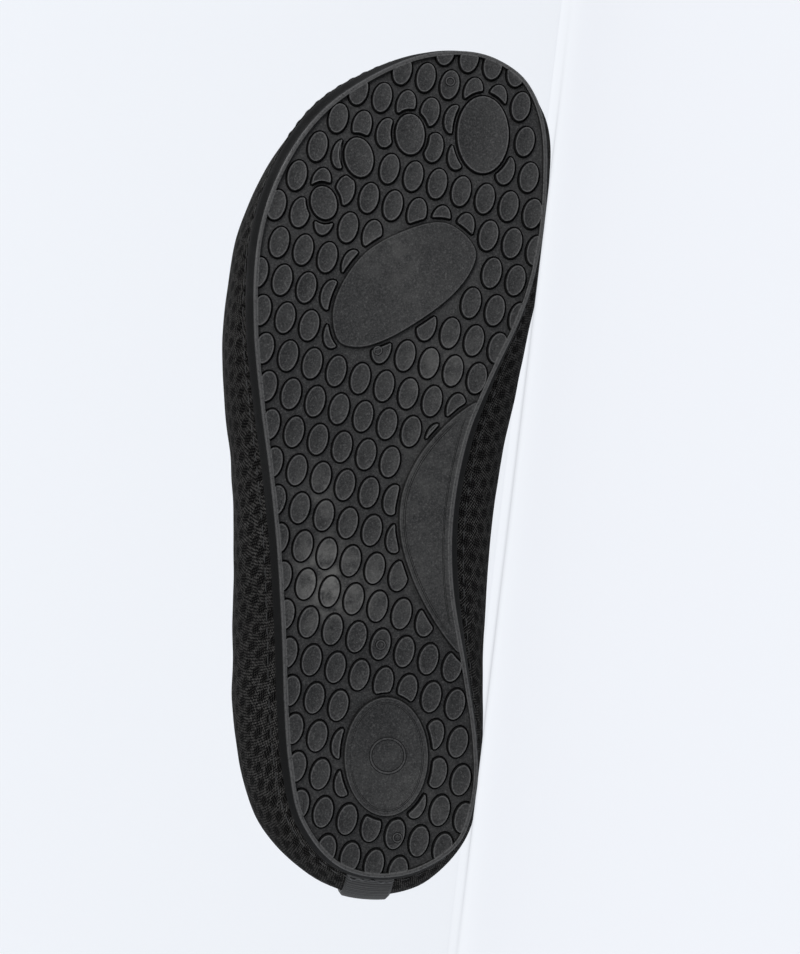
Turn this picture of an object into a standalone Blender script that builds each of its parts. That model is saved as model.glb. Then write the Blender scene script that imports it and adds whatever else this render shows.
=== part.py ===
"""A child's water shoe, the right one, lying on its medial side.

The shoe is built upright in its own axes: x across, from the line along the sole's medial
side towards the lateral side, y from the heel to the toe, z up from the ground. The empty
named shoe then lays it down with the toe towards +X and the sole facing -Y. Metres.
"""
import math
from collections import namedtuple

import bmesh
import bpy
import numpy as np
from mathutils import Matrix, Vector

# Sizes of the shoe
LENGTH = 0.1780
SOLE_WIDTH = 0.0578
HEEL_HEIGHT = 0.0530
SIDE_DIP = 0.0400
THROAT_HEIGHT = 0.0500
BULGE_HEIGHT = 0.0215
BULGE = 0.0100
TOE_SPRING = 0.0105
SPRING_START = 0.1175

# Sizes of the outsole
SOLE_THICK = 0.0046
SIDE_FLARE = 0.0016
EDGE_CHAMFER = 0.0003
RIM_WIDTH = 0.0009
TREAD_DEPTH = 0.0012
OVAL_LONG = 0.0064
OVAL_WIDE = 0.0039
OVAL_LEAN = 7.0
OVAL_GAP = 0.0008
LATTICE_ACROSS = (0.00505, 0.00093)
LATTICE_ALONG = (0.00154, 0.00770)
LATTICE_START = (0.0472, 0.1025)
OVAL_SIDES = 8

# Sizes of the upper, the insole and the tape
WALL = 0.0018
LIP = 0.0055
SETBACK = 0.0006
HEM_WIDTH = 0.0060
HEM_STEP = 0.0005
COLLAR_BACK = 0.0050
COLLAR_LONG = 0.0930
COLLAR_WIDE = 0.0425
COLLAR_CENTRE = 0.0212
COLLAR_SHIFT = 0.0072
INSOLE_THICK = 0.0025
INSOLE_ROOM = 0.0006
TAPE_WIDTH = 0.0098
TAPE_THICK = 0.0011
GAP = 0.0003
PRESS = 0.0006

# How finely the round shapes are cut
RING = 60

# The stations go round the shoe from the back of the heel by the lateral side to the toe and back
# by the medial side. along is a share of LENGTH and across of SOLE_WIDTH, at the sole's rim. flare
# is a share of SIDE_FLARE. over is how far the upper stands out past the rim, in BULGE, at a height
# of wide times BULGE_HEIGHT. turn is the place round the collar in degrees from its back. rise and
# reach are the pulls of the upper's curve at its widest line and at the collar, in HEEL_HEIGHT,
# and pitch is its slope at the collar in degrees.
Station = namedtuple("Station", "name along across flare over wide turn rise reach pitch")
STATIONS = (
    Station("heel back", 0.037, 0.324, 0.6, 0.65, 1.15, 0, 0.26, 0.20, 82),
    Station("heel back lateral", 0.049, 0.470, 0.7, 0.68, 1.15, 22, 0.26, 0.20, 82),
    Station("heel corner lateral", 0.093, 0.600, 0.8, 0.86, 1.10, 43, 0.24, 0.16, 80),
    Station("heel side lateral", 0.150, 0.662, 0.9, 0.97, 1.05, 60, 0.20, 0.12, 76),
    Station("heel front lateral", 0.220, 0.706, 0.9, 1.02, 1.00, 76, 0.17, 0.11, 72),
    Station("waist back lateral", 0.297, 0.743, 0.9, 0.98, 0.98, 92, 0.16, 0.12, 70),
    Station("waist lateral", 0.401, 0.801, 0.9, 0.84, 0.95, 111, 0.17, 0.15, 65),
    Station("waist front lateral", 0.488, 0.862, 0.9, 0.74, 0.93, 126, 0.20, 0.20, 58),
    Station("ball back lateral", 0.560, 0.919, 0.9, 0.70, 0.92, 138, 0.23, 0.27, 50),
    Station("ball lateral", 0.648, 0.976, 1.0, 0.60, 0.90, 150, 0.25, 0.36, 42),
    Station("ball front lateral", 0.735, 1.000, 1.0, 0.45, 0.86, 160, 0.25, 0.45, 36),
    Station("small toe", 0.800, 0.976, 1.3, 0.34, 0.80, 167, 0.23, 0.53, 32),
    Station("toe corner lateral", 0.863, 0.907, 1.7, 0.25, 0.74, 172, 0.21, 0.60, 29),
    Station("fourth toe", 0.912, 0.810, 1.8, 0.22, 0.70, 175, 0.19, 0.66, 27),
    Station("third toe", 0.955, 0.663, 1.4, 0.18, 0.66, 177, 0.18, 0.70, 26),
    Station("second toe", 0.986, 0.505, 0.8, 0.10, 0.64, 179, 0.17, 0.72, 26),
    Station("toe tip", 0.999, 0.347, 0.3, 0.02, 0.62, 181, 0.17, 0.72, 26),
    Station("big toe", 0.995, 0.226, 0.2, 0.02, 0.62, 183, 0.17, 0.70, 26),
    Station("big toe corner", 0.973, 0.111, 0.4, 0.10, 0.64, 185, 0.18, 0.68, 27),
    Station("toe corner medial", 0.925, 0.033, 0.4, 0.22, 0.70, 188, 0.20, 0.62, 29),
    Station("big toe side", 0.851, 0.002, 0.3, 0.22, 0.84, 193, 0.24, 0.54, 32),
    Station("ball medial", 0.779, 0.001, 0.3, 0.24, 0.96, 200, 0.26, 0.46, 37),
    Station("ball back medial", 0.706, 0.034, 0.3, 0.38, 1.00, 209, 0.26, 0.37, 43),
    Station("waist front medial", 0.622, 0.118, 0.6, 0.76, 1.02, 221, 0.24, 0.28, 51),
    Station("arch front", 0.551, 0.177, 0.9, 0.98, 1.04, 234, 0.21, 0.20, 59),
    Station("arch", 0.462, 0.195, 0.9, 1.04, 1.06, 249, 0.18, 0.15, 67),
    Station("arch back", 0.379, 0.164, 0.9, 0.92, 1.08, 265, 0.17, 0.12, 72),
    Station("heel front medial", 0.286, 0.082, 0.5, 0.54, 1.10, 281, 0.17, 0.11, 75),
    Station("heel side medial", 0.206, 0.015, 0.3, 0.31, 1.12, 297, 0.19, 0.12, 78),
    Station("heel medial", 0.146, -0.006, 0.3, 0.26, 1.14, 311, 0.21, 0.14, 80),
    Station("heel corner medial", 0.088, 0.030, 0.3, 0.32, 1.15, 328, 0.24, 0.17, 82),
    Station("heel back medial", 0.050, 0.164, 0.7, 0.60, 1.15, 344, 0.26, 0.20, 82),
)

# Smooth pads under the toes and the heel: along in LENGTH, across in SOLE_WIDTH, half sizes in
# metres, lean in degrees towards the medial side.
Pad = namedtuple("Pad", "name along across half_long half_wide lean sides")
PADS = (
    Pad("big toe", 0.902, 0.248, 0.00820, 0.00540, -4, 20),
    Pad("second toe", 0.891, 0.507, 0.00433, 0.00303, -7, 14),
    Pad("third toe", 0.856, 0.679, 0.00420, 0.00297, -17, 14),
    Pad("fourth toe", 0.798, 0.784, 0.00350, 0.00268, -20, 14),
    Pad("heel", 0.176, 0.326, 0.01215, 0.00855, -7, 24),
)

# Edges of the smooth pad under the ball and of the arch panel: along in LENGTH, across in
# SOLE_WIDTH. The arch panel's edge runs on past the sole's side at both ends.
Point = namedtuple("Point", "along across")
BALL_EDGE = (
    Point(0.793, 0.345), Point(0.776, 0.499), Point(0.741, 0.631), Point(0.684, 0.705),
    Point(0.642, 0.672), Point(0.641, 0.570), Point(0.674, 0.412), Point(0.722, 0.270),
    Point(0.765, 0.229),
)
ARCH_EDGE = (
    Point(0.612, 0.080), Point(0.582, 0.205), Point(0.550, 0.290), Point(0.517, 0.349),
    Point(0.474, 0.385), Point(0.430, 0.372), Point(0.387, 0.318), Point(0.343, 0.230),
    Point(0.306, 0.125), Point(0.285, 0.040),
)


def periodic(rows, at, count):
    """Smooth closed curves through the rows at the given parameters, read at count even steps."""
    values = np.array(rows, float)
    total = at[-1]
    knots = np.concatenate([[at[-2] - total], at])
    values = np.vstack([values[-1], values, values[0]])
    knots = np.concatenate([knots, [total + at[1]]])
    values = np.vstack([values, values[2]])
    slopes = (values[2:] - values[:-2]) / (knots[2:] - knots[:-2])[:, None]
    out = []
    for step in range(count):
        t = total * step / count
        low = int(np.searchsorted(at, t, side="right")) - 1
        span = at[low + 1] - at[low]
        s = (t - at[low]) / span
        a, b = values[low + 1], values[low + 2]
        ma, mb = slopes[low] * span, slopes[low + 1] * span
        out.append(
            (2 * s**3 - 3 * s**2 + 1) * a
            + (s**3 - 2 * s**2 + s) * ma
            + (3 * s**2 - 2 * s**3) * b
            + (s**3 - s**2) * mb
        )
    return np.array(out)


def spaced(points):
    """Running length along a closed run of points, ending with the whole length."""
    step = np.linalg.norm(np.roll(points, -1, axis=0) - points, axis=1)
    return np.concatenate([[0.0], np.cumsum(step)])


def outward(loop):
    """Unit normals that point out of a closed loop of plan points."""
    along = np.roll(loop, -1, axis=0) - np.roll(loop, 1, axis=0)
    along = along / np.linalg.norm(along, axis=1)[:, None]
    area = np.sum(loop[:, 0] * np.roll(loop[:, 1], -1) - np.roll(loop[:, 0], -1) * loop[:, 1])
    side = np.stack([along[:, 1], -along[:, 0]], axis=1)
    return side if area > 0 else -side


def spring(y):
    """How far the toe lifts everything at y."""
    share = np.clip((np.asarray(y, float) - SPRING_START) / (LENGTH - SPRING_START), 0, None)
    return TOE_SPRING * share**2


def laid(y):
    """Where a point of the flat tread lies once the toe is bent up."""
    run = LENGTH - SPRING_START
    share = np.clip((np.asarray(y, float) - SPRING_START) / run, 0, None)
    return np.asarray(y, float) - run * (2 * TOE_SPRING / run) ** 2 * share**3 / 6


def stations(count):
    """The station table as smooth columns, with the rim's plan points and its outward normals."""
    places = np.array([[s.across * SOLE_WIDTH, s.along * LENGTH] for s in STATIONS])
    names = Station._fields[3:]
    table = [[*place, *[getattr(s, name) for name in names]] for place, s in zip(places, STATIONS)]
    last = list(table[0])
    last[2 + names.index("turn")] += 360
    columns = np.array(table)
    at = spaced(places)
    turn = 2 + names.index("turn")
    level = columns.copy()
    level[:, turn] -= 360 * at[:-1] / at[-1]
    read = periodic(level, at, count)
    read[:, turn] += 360 * np.arange(count) / count
    loop = read[:, :2]
    return loop, outward(loop), {name: read[:, 2 + i] for i, name in enumerate(names)}


def bezier(a, b, c, d, t):
    return (1 - t) ** 3 * a + 3 * (1 - t) ** 2 * t * b + 3 * (1 - t) * t**2 * c + t**3 * d


def collar(turn):
    """A point of the collar's edge, and the plan direction out of the opening there."""
    angle = math.radians(turn)
    back = -math.cos(angle)
    side = math.sin(angle)
    y = COLLAR_BACK + COLLAR_LONG * (1 + back) / 2
    x = COLLAR_CENTRE + COLLAR_SHIFT * (1 + back) / 2 + side * COLLAR_WIDE / 2 * (1 - 0.10 * back)
    ends = HEEL_HEIGHT if back < 0 else THROAT_HEIGHT
    z = SIDE_DIP + (ends - SIDE_DIP) * back**2
    out = np.array([side / (COLLAR_WIDE / 2), back / (COLLAR_LONG / 2)])
    return np.array([x, y, z]), out / np.linalg.norm(out)


LOWER_STEPS = (0.0, 0.28, 0.6, 1.0)
UPPER_STEPS = (0.08, 0.17, 0.28, 0.42, 0.58, 0.75)


def upper_grid(count, lower_steps=LOWER_STEPS, upper_steps=UPPER_STEPS):
    """The upper's outer face: rows from the edge of the turned-in lip up to the collar."""
    loop, normal, column = stations(count)
    bottom = SOLE_THICK + GAP
    grid = []
    for i in range(count):
        out = normal[i]
        edge = loop[i] + out * (SIDE_FLARE * column["flare"][i] - SETBACK)
        wide = loop[i] + out * BULGE * column["over"][i]
        lift = float(spring(edge[1]))
        wide_z = BULGE_HEIGHT * column["wide"][i] + lift
        end, opening = collar(column["turn"][i])
        tuck = edge - out * LIP
        rows = [np.array([*tuck, bottom + float(spring(tuck[1]))])]
        a = np.array([*edge, bottom + lift])
        d = np.array([*wide, wide_z])
        push = max(float(np.dot(wide - edge, out)), 0.0)
        b = a + np.array([*(out * push * 0.75), (wide_z - a[2]) * 0.18])
        c = d - np.array([0, 0, (wide_z - a[2]) * 0.5])
        rows += [bezier(a, b, c, d, t) for t in lower_steps]
        slope = math.radians(column["pitch"][i])
        reach = column["reach"][i] * HEEL_HEIGHT
        path = opening * COLLAR_WIDE / 2 + wide - end[:2]
        path /= np.linalg.norm(path)
        lean = np.array([*(path * math.cos(slope)), -math.sin(slope)])
        e = d + np.array([0, 0, column["rise"][i] * HEEL_HEIGHT])
        f = end + lean * reach
        span = sum(np.linalg.norm(q - p) for p, q in ((d, e), (e, f), (f, end)))
        hem = 1 - HEM_WIDTH / span
        rows += [bezier(d, e, f, end, t * hem / 0.9) for t in upper_steps]
        top = [bezier(d, e, f, end, t) for t in (hem, hem + 0.012, 1.0)]
        tangent = end - bezier(d, e, f, end, 0.97)
        tangent /= np.linalg.norm(tangent)
        level = np.array([*opening, 0.0])
        face = level - tangent * float(np.dot(level, tangent))
        face /= np.linalg.norm(face)
        rows += [top[0], top[1] + face * HEM_STEP, top[2] + face * HEM_STEP]
        grid.append(rows)
    return np.array(grid)


def rest_plane(grid):
    """The floor that the sole's medial edge and the upper's bulge lie on, as (y, z, c) factors."""
    loop, normal, column = stations(RING * 2)
    flare = (SIDE_FLARE * column["flare"])[:, None]
    steps = ((EDGE_CHAMFER, 0.0), (SOLE_THICK * 0.62, 0.78), (SOLE_THICK, 1.0))
    sides = [(loop + normal * flare * share, level) for level, share in steps]
    edge = np.vstack([np.column_stack([p, level + spring(p[:, 1])]) for p, level in sides])
    skin = grid.reshape(-1, 3)
    middle = LENGTH / 2

    def settle(tilt):
        value = edge[:, 0] + edge[:, 2] * tilt
        back = edge[:, 1] < middle
        low, high = -0.3, 0.3
        for _ in range(50):
            turn = (low + high) / 2
            line = value + edge[:, 1] * turn
            if line[back].min() > line[~back].min():
                low = turn
            else:
                high = turn
        return turn, float((value + edge[:, 1] * turn).min())

    low, high = 0.0, 1.0
    for _ in range(50):
        tilt = (low + high) / 2
        turn, level = settle(tilt)
        if (skin[:, 0] + skin[:, 2] * tilt + skin[:, 1] * turn).min() < level - PRESS:
            low = tilt
        else:
            high = tilt
    return turn, tilt, level


def press(points, plane):
    """Points below the floor are moved up to it, square to it."""
    turn, tilt, level = plane
    square = np.array([1.0, turn, tilt])
    over = level - points @ square
    move = np.clip(over, 0, None)[..., None] * square / (square @ square)
    return points + move


def make_object(name, mesh, collection, material=None):
    obj = bpy.data.objects.new(name, mesh)
    collection.objects.link(obj)
    if material:
        mesh.materials.append(material)
    return obj


def loft(name, rings, collection, caps=True):
    """A skin over closed rings of points, with a flat cap at each end."""
    bm = bmesh.new()
    rows = [[bm.verts.new(p) for p in ring] for ring in rings]
    count = len(rows[0])
    for low, high in zip(rows, rows[1:]):
        for i in range(count):
            j = (i + 1) % count
            bm.faces.new((low[i], low[j], high[j], high[i]))
    if caps:
        bm.faces.new(list(reversed(rows[0])))
        bm.faces.new(rows[-1])
    bmesh.ops.recalc_face_normals(bm, faces=bm.faces)
    mesh = bpy.data.meshes.new(name)
    bm.to_mesh(mesh)
    bm.free()
    return make_object(name, mesh, collection)


def prism(name, outline, low, high, collection):
    """A flat outline raised from low to high."""
    ends = [[(x, y, z) for x, y in outline] for z in (low, high)]
    return loft(name, ends, collection)


def discs(name, ellipses, low, high, collection):
    """Upright elliptic discs, one cylinder each, in one mesh."""
    bm = bmesh.new()
    for x, y, half_wide, half_long, lean, sides in ellipses:
        place = Matrix.Translation((x, y, (low + high) / 2))
        turn = Matrix.Rotation(math.radians(lean), 4, "Z")
        size = Matrix.Diagonal((half_wide, half_long, 1, 1))
        bmesh.ops.create_cone(
            bm, cap_ends=True, segments=sides, radius1=1, radius2=1, depth=high - low,
            matrix=place @ turn @ size,
        )
    mesh = bpy.data.meshes.new(name)
    bm.to_mesh(mesh)
    bm.free()
    return make_object(name, mesh, collection)


def evaluated(obj):
    """The object's mesh with its modifiers applied."""
    bpy.context.view_layer.update()
    graph = bpy.context.evaluated_depsgraph_get()
    return bpy.data.meshes.new_from_object(obj.evaluated_get(graph))


def boolean(obj, other, operation):
    modifier = obj.modifiers.new(other.name, "BOOLEAN")
    modifier.operation = operation
    modifier.solver = "EXACT"
    modifier.object = other
    mesh = evaluated(obj)
    obj.modifiers.clear()
    obj.data = mesh


def helper(obj):
    obj.hide_render = True
    obj.display_type = "WIRE"
    return obj


def bend(obj, step=0.0115):
    """Cuts the flat piece at even steps ahead of the ball and lifts it along the toe spring."""
    bm = bmesh.new()
    bm.from_mesh(obj.data)
    bmesh.ops.triangulate(bm, faces=bm.faces)
    cuts = int((LENGTH - SPRING_START) / step)
    for i in range(cuts + 1):
        y = SPRING_START + (LENGTH - SPRING_START) * (i + 0.5) / (cuts + 1)
        everything = list(bm.verts) + list(bm.edges) + list(bm.faces)
        bmesh.ops.bisect_plane(bm, geom=everything, dist=1e-6, plane_co=(0, y, 0), plane_no=(0, 1, 0))
    bmesh.ops.remove_doubles(bm, verts=bm.verts, dist=2e-6)
    for vert in bm.verts:
        vert.co.z += float(spring(vert.co.y))
    bmesh.ops.triangulate(bm, faces=[f for f in bm.faces if len(f.verts) > 3])
    bm.to_mesh(obj.data)
    bm.free()


def inside(points, loop):
    """Whether plan points are inside a closed loop, and how far they are from its line."""
    points = np.atleast_2d(points)
    a = loop
    b = np.roll(loop, -1, axis=0)
    hit = np.zeros(len(points), bool)
    far = np.full(len(points), 1e9)
    for p, q in zip(a, b):
        crosses = (p[1] > points[:, 1]) != (q[1] > points[:, 1])
        rise = q[1] - p[1]
        x = p[0] + (points[:, 1] - p[1]) / (rise if rise else 1e-12) * (q[0] - p[0])
        hit ^= crosses & (points[:, 0] < x)
        edge = q - p
        t = np.clip(((points - p) @ edge) / (edge @ edge), 0, 1)
        far = np.minimum(far, np.linalg.norm(points - p - t[:, None] * edge, axis=1))
    return hit, far


def smooth_edge(points, closed, count):
    """Plan points of an edge table, made smooth."""
    rows = np.array([[p.across * SOLE_WIDTH, p.along * LENGTH] for p in points])
    if closed:
        return periodic(rows, spaced(rows), count)
    at = spaced(rows)[: len(rows)]
    slopes = np.gradient(rows, at, axis=0)
    out = []
    for t in np.linspace(0, at[-1], count):
        low = min(int(np.searchsorted(at, t, side="right")) - 1, len(rows) - 2)
        span = at[low + 1] - at[low]
        s = (t - at[low]) / span
        out.append(
            (2 * s**3 - 3 * s**2 + 1) * rows[low]
            + (s**3 - 2 * s**2 + s) * slopes[low] * span
            + (3 * s**2 - 2 * s**3) * rows[low + 1]
            + (s**3 - s**2) * slopes[low + 1] * span
        )
    return np.array(out)


def grown(loop, by):
    return loop + outward(loop) * by


def ellipse_points(x, y, half_wide, half_long, lean, count):
    angle = 2 * math.pi * np.arange(count) / count
    turn = math.radians(lean)
    across = half_wide * np.cos(angle)
    along = half_long * np.sin(angle)
    return np.column_stack([
        x + across * math.cos(turn) - along * math.sin(turn),
        y + across * math.sin(turn) + along * math.cos(turn),
    ])


def arch_panel():
    """The smooth lens at the medial side, closed well outside the sole."""
    edge = smooth_edge(ARCH_EDGE, False, 16)
    beyond = -0.25 * SOLE_WIDTH
    return np.vstack([edge, [[beyond, edge[-1][1]], [beyond, edge[0][1]]]])


def lattice(pocket, keep_clear):
    """The ovals that show in the pocket: plan centre, and whether each one is whole."""
    reach = int(1.4 * LENGTH / LATTICE_ALONG[1])
    found = []
    for i in range(-reach, reach):
        for j in range(-reach, reach):
            x = LATTICE_START[0] + i * LATTICE_ACROSS[0] + j * LATTICE_ALONG[0]
            y = LATTICE_START[1] + i * LATTICE_ACROSS[1] + j * LATTICE_ALONG[1]
            if not (-0.1 * SOLE_WIDTH < x < 1.1 * SOLE_WIDTH and 0 < y < 1.05 * LENGTH):
                continue
            y = float(laid(y))
            spots = np.vstack([
                ellipse_points(x, y, OVAL_WIDE / 2 * k, OVAL_LONG / 2 * k, OVAL_LEAN, 12)
                for k in (0.3, 0.62, 0.92)
            ])
            open_here = inside(spots, pocket)[0]
            for loop in keep_clear:
                open_here &= ~inside(spots, loop)[0]
            if open_here.mean() > 0.26:
                found.append((x, y))
    return found


def build_outsole(collection, cutters):
    loop, normal, column = stations(RING)
    flare = (SIDE_FLARE * column["flare"])[:, None]
    levels = (
        (0.0, loop - normal * EDGE_CHAMFER),
        (EDGE_CHAMFER, loop),
        (SOLE_THICK * 0.62, loop + normal * flare * 0.78),
        (SOLE_THICK, loop + normal * flare),
    )
    sole = loft("outsole", [[(x, y, z) for x, y in ring] for z, ring in levels], collection)
    pocket = loop - normal * RIM_WIDTH
    under = -TREAD_DEPTH
    floor = helper(prism("cut_pocket", pocket, under, TREAD_DEPTH, cutters))
    ball = smooth_edge(BALL_EDGE, True, 24)
    arch = arch_panel()
    pads = [
        (p.across * SOLE_WIDTH, p.along * LENGTH, p.half_wide, p.half_long, p.lean, p.sides)
        for p in PADS
    ]
    clear_pads = [(x, y, w + OVAL_GAP, h + OVAL_GAP, lean, s) for x, y, w, h, lean, s in pads]
    clear_loops = [ellipse_points(*p[:5], 24) for p in clear_pads]
    clear_ball = grown(ball, OVAL_GAP)
    clear_arch = arch + outward(arch) * OVAL_GAP
    spots = lattice(pocket, [*clear_loops, clear_ball, clear_arch])
    ovals = [(x, y, OVAL_WIDE / 2, OVAL_LONG / 2, OVAL_LEAN, OVAL_SIDES) for x, y in spots]
    low, high = -2 * TREAD_DEPTH, 2 * TREAD_DEPTH
    lugs = helper(discs("keep_ovals", ovals, low, high, cutters))
    clearances = (
        discs("clear_pads", clear_pads, 1.5 * low, 1.5 * high, cutters),
        prism("clear_ball", clear_ball, 1.5 * low, 1.5 * high, cutters),
        prism("clear_arch", clear_arch, 1.5 * low, 1.5 * high, cutters),
    )
    for piece in clearances:
        boolean(lugs, helper(piece), "DIFFERENCE")
    smooth = (
        discs("keep_pads", pads, 1.5 * low, 1.5 * high, cutters),
        prism("keep_ball", ball, 1.5 * low, 1.5 * high, cutters),
        prism("keep_arch", arch, 1.5 * low, 1.5 * high, cutters),
    )
    for piece in (lugs, *smooth):
        boolean(floor, helper(piece), "DIFFERENCE")
    boolean(sole, floor, "DIFFERENCE")
    bend(sole)
    return sole


def build_upper(grid, collection):
    count, rows = grid.shape[:2]
    bm = bmesh.new()
    verts = [[bm.verts.new(p) for p in column] for column in grid]
    for i in range(count):
        j = (i + 1) % count
        for k in range(rows - 1):
            bm.faces.new((verts[i][k], verts[j][k], verts[j][k + 1], verts[i][k + 1]))
    mesh = bpy.data.meshes.new("upper")
    bm.to_mesh(mesh)
    bm.free()
    upper = make_object("upper", mesh, collection)
    shell = upper.modifiers.new("wall", "SOLIDIFY")
    shell.thickness = WALL
    shell.offset = -1
    shell.use_even_offset = True
    return upper


def wall_inside(grid, height):
    """Plan points on the inner side of the upper's wall at a height over the bent sole."""
    loop, normal, column = stations(len(grid))
    found = []
    for line, start, out in zip(grid, loop, normal):
        away = (line[1:, :2] - start) @ out
        rise = line[1:, 2] - spring(line[1:, 1])
        run = np.column_stack([np.gradient(away), np.gradient(rise)])
        run /= np.linalg.norm(run, axis=1)[:, None]
        room = WALL + INSOLE_ROOM
        inner = np.column_stack([away - run[:, 1] * room, rise + run[:, 0] * room])
        low = max(int(np.argmax(inner[:, 1] > height)), 1)
        a, b = inner[low - 1], inner[low]
        share = np.clip((height - a[1]) / (b[1] - a[1]), 0, 1)
        found.append(start + out * (a[0] + (b[0] - a[0]) * share))
    return np.array(found)


def build_insole(grid, collection):
    loop, normal, column = stations(RING)
    edge = loop + normal * (SIDE_FLARE * column["flare"] - SETBACK)[:, None]
    within = edge - normal * (LIP + INSOLE_ROOM)
    low = SOLE_THICK + GAP
    seat = low + WALL + GAP
    top = seat + INSOLE_THICK
    foot = wall_inside(grid, seat)
    face = wall_inside(grid, top)
    rings = ((low, within), (seat, within), (seat, foot), (top, face))
    insole = loft("insole", [[(x, y, z) for x, y in ring] for z, ring in rings], collection)
    bend(insole)
    return insole


def build_tape(grid, collection):
    """The tape follows the two flat strips of the upper beside the heel's seam."""
    middle, left, right = grid[0], grid[-1], grid[1]
    step = float(np.linalg.norm((right - left)[5, :2])) / 2
    share = TAPE_WIDTH / 2 / step
    columns = [middle + (left - middle) * share, middle, middle + (right - middle) * share]
    rows = grid.shape[1]
    bm = bmesh.new()
    verts = []
    for line in columns:
        line = np.delete(line, rows - 3, axis=0)
        run = np.gradient(line, axis=0)
        back = np.column_stack([np.zeros(rows - 1), -run[:, 2], run[:, 1]])
        back /= np.linalg.norm(back, axis=1)[:, None]
        away = line + back * (GAP + TAPE_THICK)
        verts.append([bm.verts.new(p) for p in away[2:]])
    for a, b in zip(verts, verts[1:]):
        for k in range(len(a) - 1):
            bm.faces.new((a[k], b[k], b[k + 1], a[k + 1]))
    mesh = bpy.data.meshes.new("heel_tape")
    bm.to_mesh(mesh)
    bm.free()
    tape = make_object("heel_tape", mesh, collection)
    shell = tape.modifiers.new("thickness", "SOLIDIFY")
    shell.thickness = TAPE_THICK
    shell.offset = -1
    return tape


def material(name, colour, roughness):
    found = bpy.data.materials.new(name)
    found.use_nodes = True
    shader = found.node_tree.nodes["Principled BSDF"]
    shader.inputs["Base Color"].default_value = (*colour, 1)
    shader.inputs["Roughness"].default_value = roughness
    shader.inputs["Metallic"].default_value = 0
    return found


def lay_down(plane, pieces, collection):
    """Turns the shoe onto the floor plane, with its origin under the middle of what it fills."""
    turn, tilt, level = plane
    up = Vector((1, turn, tilt)).normalized()
    toe = (Vector((0, 1, 0)) - up * up.y).normalized()
    deep = up.cross(toe)
    rotation = Matrix((toe, deep, up)).to_4x4()
    corners = []
    for piece in pieces:
        mesh = evaluated(piece)
        corners += [rotation @ v.co for v in mesh.vertices]
        bpy.data.meshes.remove(mesh)
    lows = [min(c[i] for c in corners) for i in range(3)]
    highs = [max(c[i] for c in corners) for i in range(3)]
    middle = Vector(((lows[0] + highs[0]) / 2, (lows[1] + highs[1]) / 2, lows[2]))
    frame = bpy.data.objects.new("shoe", None)
    collection.objects.link(frame)
    frame.matrix_world = Matrix.Translation(-middle) @ rotation
    for piece in pieces:
        piece.parent = frame


def main():
    for obj in list(bpy.data.objects):
        bpy.data.objects.remove(obj, do_unlink=True)
    shoe = bpy.data.collections.new("water_shoe")
    cutters = bpy.data.collections.new("cutters")
    bpy.context.scene.collection.children.link(shoe)
    bpy.context.scene.collection.children.link(cutters)

    grid = upper_grid(RING)
    plane = rest_plane(grid)
    grid = press(grid, plane)

    outsole = build_outsole(shoe, cutters)
    upper = build_upper(grid, shoe)
    insole = build_insole(grid, shoe)
    tape = build_tape(grid, shoe)

    outsole.data.materials.append(material("black_rubber", (0.035, 0.035, 0.038), 0.5))
    upper.data.materials.append(material("black_mesh", (0.012, 0.012, 0.013), 0.85))
    insole.data.materials.append(material("black_foam", (0.03, 0.03, 0.032), 0.9))
    tape.data.materials.append(material("black_tape", (0.02, 0.02, 0.02), 0.6))
    for piece in (outsole, upper, insole, tape):
        piece.data.shade_smooth()
        piece.data.set_sharp_from_angle(angle=math.radians(35))
    lay_down(plane, (outsole, upper, insole, tape), shoe)


main()
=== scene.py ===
import math
from collections import namedtuple

import bmesh
import bpy
import numpy as np
from mathutils import Matrix, Vector, geometry, noise


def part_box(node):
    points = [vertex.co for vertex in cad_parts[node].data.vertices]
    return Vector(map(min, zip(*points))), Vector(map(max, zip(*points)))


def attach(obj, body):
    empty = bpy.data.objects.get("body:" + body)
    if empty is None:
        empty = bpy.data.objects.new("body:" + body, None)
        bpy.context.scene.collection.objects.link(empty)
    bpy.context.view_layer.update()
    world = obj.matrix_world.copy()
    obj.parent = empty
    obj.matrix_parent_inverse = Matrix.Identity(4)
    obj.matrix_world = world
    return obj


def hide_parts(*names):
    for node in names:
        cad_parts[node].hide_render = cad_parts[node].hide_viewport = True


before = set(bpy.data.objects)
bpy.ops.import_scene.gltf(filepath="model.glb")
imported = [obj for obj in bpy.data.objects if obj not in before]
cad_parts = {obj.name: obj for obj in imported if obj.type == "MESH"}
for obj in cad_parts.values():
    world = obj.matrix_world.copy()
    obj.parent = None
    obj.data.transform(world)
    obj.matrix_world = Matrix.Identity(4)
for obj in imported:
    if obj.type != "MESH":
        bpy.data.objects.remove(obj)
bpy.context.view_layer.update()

# Sizes of the shoe
LENGTH = 0.1780
SOLE_WIDTH = 0.0578
HEEL_HEIGHT = 0.0530
SIDE_DIP = 0.0400
THROAT_HEIGHT = 0.0500
BULGE_HEIGHT = 0.0215
BULGE = 0.0100
TOE_SPRING = 0.0105
SPRING_START = 0.1175

# Sizes of the outsole
SOLE_THICK = 0.0046
SIDE_FLARE = 0.0016
EDGE_CHAMFER = 0.0003
RIM_WIDTH = 0.0009
TREAD_DEPTH = 0.0012
OVAL_LONG = 0.0064
OVAL_WIDE = 0.0039
OVAL_LEAN = 7.0
LATTICE_ACROSS = (0.00505, 0.00093)
LATTICE_ALONG = (0.00154, 0.00770)
LATTICE_START = (0.0472, 0.1025)

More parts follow.
